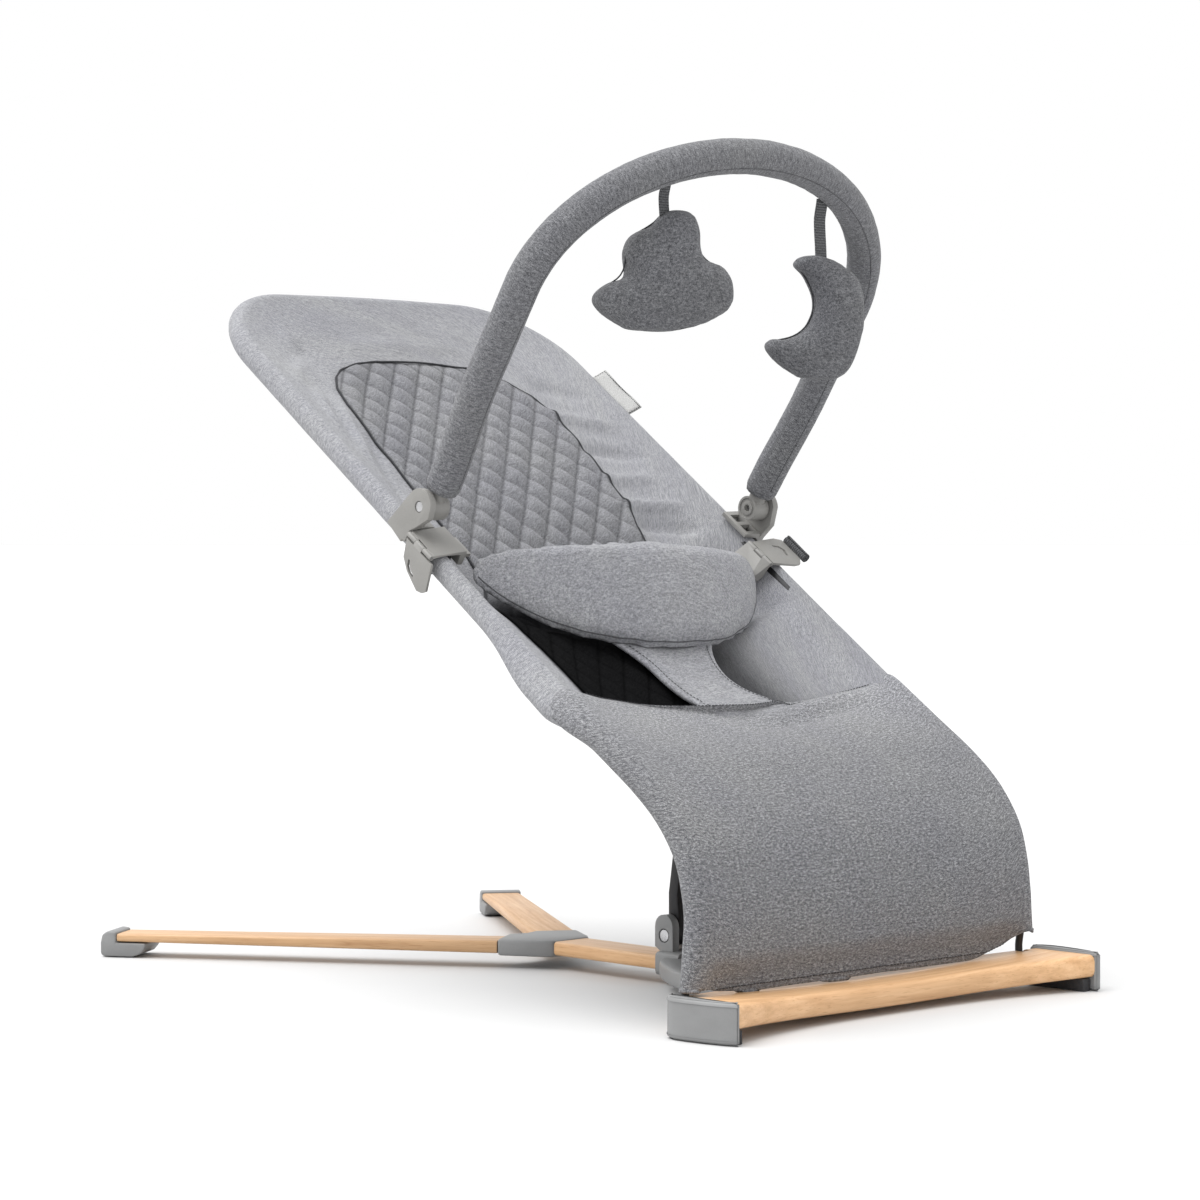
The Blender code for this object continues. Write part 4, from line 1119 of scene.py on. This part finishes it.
def toys():
    """The cloud and the moon, each sewn round its edge and hung from a ribbon."""
    kinds = (("cloud", -85.5, CLOUD, 28.0, 15, 5.0), ("moon", 93.0, MOON, 41.0, 13, 6.2))
    for name, x, outline, drop, depth, half in kinds:
        rise = TOY_SPRING + (TOY_RISE - TOY_SPRING) * math.sqrt(1 - (x / TOY_HALF) ** 2)
        top, hung = toy(x, rise - TOY_SLEEVE_R - 0.5), toy(x, rise - TOY_SLEEVE_R - 4.6)
        top_y, top_z = top.y / MM + MIDDLE, top.z / MM
        centre_y, low_z = hung.y / MM + MIDDLE, hung.z / MM - drop
        shape, edge = plush("plush_" + name, outline, (x, centre_y), low_z, depth)
        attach(shape, name)
        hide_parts(name + "_toy")
        cord_line(name + "_seam", drawn_on(surface_of(shape), edge, -0.1), 0.6, THREAD, name)
        rows = []
        for k in range(15):
            s = k / 14
            z = top_z + 1 - (top_z + 1 - low_z + 7) * s
            y = top_y + (centre_y - top_y) * step(0, 0.35, s)
            rows.append([at(x + half * (-1 + 2 * j / 6), y + 0.8 * math.sin(s * 5), z) for j in range(7)])
        strap = cloth_grid(name + "_ribbon", rows, TAPE, name, thick=1.2)
        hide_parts(name + "_strap")


# ---------------------------------------------------------------- CAD parts' finishes
def soft_edges():
    """A node group that shades smooth except over sharp edges."""
    group = bpy.data.node_groups.new("soft_edges", "GeometryNodeTree")
    group.interface.new_socket("Geometry", in_out="INPUT", socket_type="NodeSocketGeometry")
    group.interface.new_socket("Geometry", in_out="OUTPUT", socket_type="NodeSocketGeometry")
    start, end = group.nodes.new("NodeGroupInput"), group.nodes.new("NodeGroupOutput")
    smooth = group.nodes.new("GeometryNodeSetShadeSmooth")
    sharp = group.nodes.new("GeometryNodeSetShadeSmooth")
    sharp.domain = "EDGE"
    sharp.inputs["Shade Smooth"].default_value = False
    angle = group.nodes.new("GeometryNodeInputMeshEdgeAngle")
    over = group.nodes.new("FunctionNodeCompare")
    over.inputs["B"].default_value = math.radians(44)
    group.links.new(angle.outputs["Unsigned Angle"], over.inputs["A"])
    group.links.new(over.outputs[0], sharp.inputs["Selection"])
    group.links.new(start.outputs[0], smooth.inputs[0])
    group.links.new(smooth.outputs[0], sharp.inputs[0])
    group.links.new(sharp.outputs[0], end.inputs[0])
    return group


# Material and edge rounding in mm, by the start of a part's name; the longest start that fits counts.
FINISHES = {
    # Painted light and shade: the crossbar's oak is painted 14 % lighter and the rear legs' oak 10 % darker.
    "front_crossbar": (oak("oak_crossbar_painted_light", light=1.14), 0.6),
    "centre_beam": (oak("oak_beam", math.pi / 2), 0.6),
    "rear_leg_left": (oak("oak_leg_left_painted_shade", math.pi / 2 + math.radians(34), 0.9), 0.5),
    "rear_leg_right": (oak("oak_leg_right_painted_shade", math.pi / 2 - math.radians(34), 0.9), 0.5),
    "front_cap": (BASE_GREY, 2.6),
    "front_yoke": (BASE_GREY, 0.7),
    "rear_junction": (BASE_GREY, 0.6),
    "rear_cap": (BASE_GREY, 1.6),
    "recline_track": (BASE_GREY, 0.5),
    "front_foot": (RUBBER, 0.4),
    "rear_foot": (RUBBER, 0.4),
    "strut_bolt": (STEEL, 0.5),
    "rod_pin": (STEEL, 0.2),
    "buckle_pin": (STEEL, 0.2),
    "toy_pivot_screw": (STEEL, 0.4),
    "spring_rod": (BLACK, 0.3),
    "recline_strut": (BLACK, 0.6),
    "strut_head": (BLACK, 0.5),
    "seat_tube": (BLACK, 0.0),
    "track_bow": (BLACK, 0.0),
    "toy_bracket": (WARM_GREY, 0.6),
    "toy_knuckle": (WARM_GREY, 0.5),
    "toy_bar_tube": (WARM_GREY, 0.0),
    "buckle": (WARM_GREY, 0.45),
}


def finish_parts():
    """Gives the CAD parts their materials and softly rounded edges."""
    group = soft_edges()
    names = sorted(FINISHES, key=len, reverse=True)
    for name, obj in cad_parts.items():
        key = next((n for n in names if name.startswith(n)), None)
        if key is None:
            continue
        material, width = FINISHES[key]
        obj.data.materials.clear()
        obj.data.materials.append(material)
        if "custom_normal" in obj.data.attributes:
            obj.data.attributes.remove(obj.data.attributes["custom_normal"])
        joined = obj.modifiers.new("joined", "WELD")
        joined.merge_threshold = 0.00001
        if width:
            bevel = obj.modifiers.new("rounded_edges", "BEVEL")
            bevel.width = width * MM
            bevel.segments = 3
            bevel.limit_method = "ANGLE"
            bevel.angle_limit = math.radians(38)
            bevel.use_clamp_overlap = width < 2.5
        soft = obj.modifiers.new("soft_edges", "NODES")
        soft.node_group = group


# ---------------------------------------------------------------- stage
def floor_material():
    made, tree, shader = new_material("pale_floor")
    where = node(tree, "TexCoord").outputs["Object"]
    cloud = noisy(tree, where, 3, detail=4)
    tree.links.new(ramp(tree, cloud, (0.3, grey(0.60)), (0.7, grey(0.63))), shader.inputs["Base Color"])
    shader.inputs["Roughness"].default_value = 0.7
    return made


def stage():
    """A wide pale floor in a white studio, lit by one broad soft lamp from above."""
    size = 40.0
    mesh = bpy.data.meshes.new("floor")
    corners = [(-size, -size, 0), (size, -size, 0), (size, size, 0), (-size, size, 0)]
    mesh.from_pydata(corners, [], [(0, 1, 2, 3)])
    mesh.materials.append(floor_material())
    floor = bpy.data.objects.new("floor", mesh)
    floor.location.z = -0.0002
    bpy.context.scene.collection.objects.link(floor)
    world = bpy.data.worlds.new("studio")
    world.use_nodes = True
    world.node_tree.nodes["Background"].inputs["Color"].default_value = (1, 1, 1, 1)
    world.node_tree.nodes["Background"].inputs["Strength"].default_value = 1.0
    bpy.context.scene.world = world
    lamp = bpy.data.lights.new("overhead", "SUN")
    lamp.energy = 3.1
    lamp.angle = math.radians(62)
    above = bpy.data.objects.new("overhead", lamp)
    above.rotation_euler = Vector((0.34, -0.22, -1)).to_track_quat("-Z", "Y").to_euler()
    bpy.context.scene.collection.objects.link(above)


def camera():
    """Where the photograph was taken from: low, from the front left corner, with a long lens."""
    lens = bpy.data.cameras.new("camera")
    lens.sensor_width = 36
    lens.lens = 101.7
    lens.clip_end = 50
    obj = bpy.data.objects.new("camera", lens)
    pitch = math.radians(1.335)
    look = Vector((0.691 * math.cos(pitch), 0.723 * math.cos(pitch), -math.sin(pitch)))
    obj.location = at(-1926.8, -1666.3, 371.9)
    obj.rotation_mode = "QUATERNION"
    obj.rotation_quaternion = look.to_track_quat("-Z", "Y")
    bpy.context.scene.collection.objects.link(obj)
    bpy.context.scene.camera = obj


bpy.context.scene.view_settings.view_transform = "Standard"
camera()
stage()
finish_parts()
seat_cover()
quilted_insert()
panel = front_panel()
lap_pad()
crotch_stem(panel)
label()
rail_straps()
rolled_strap()
bar_sleeve()
toys()
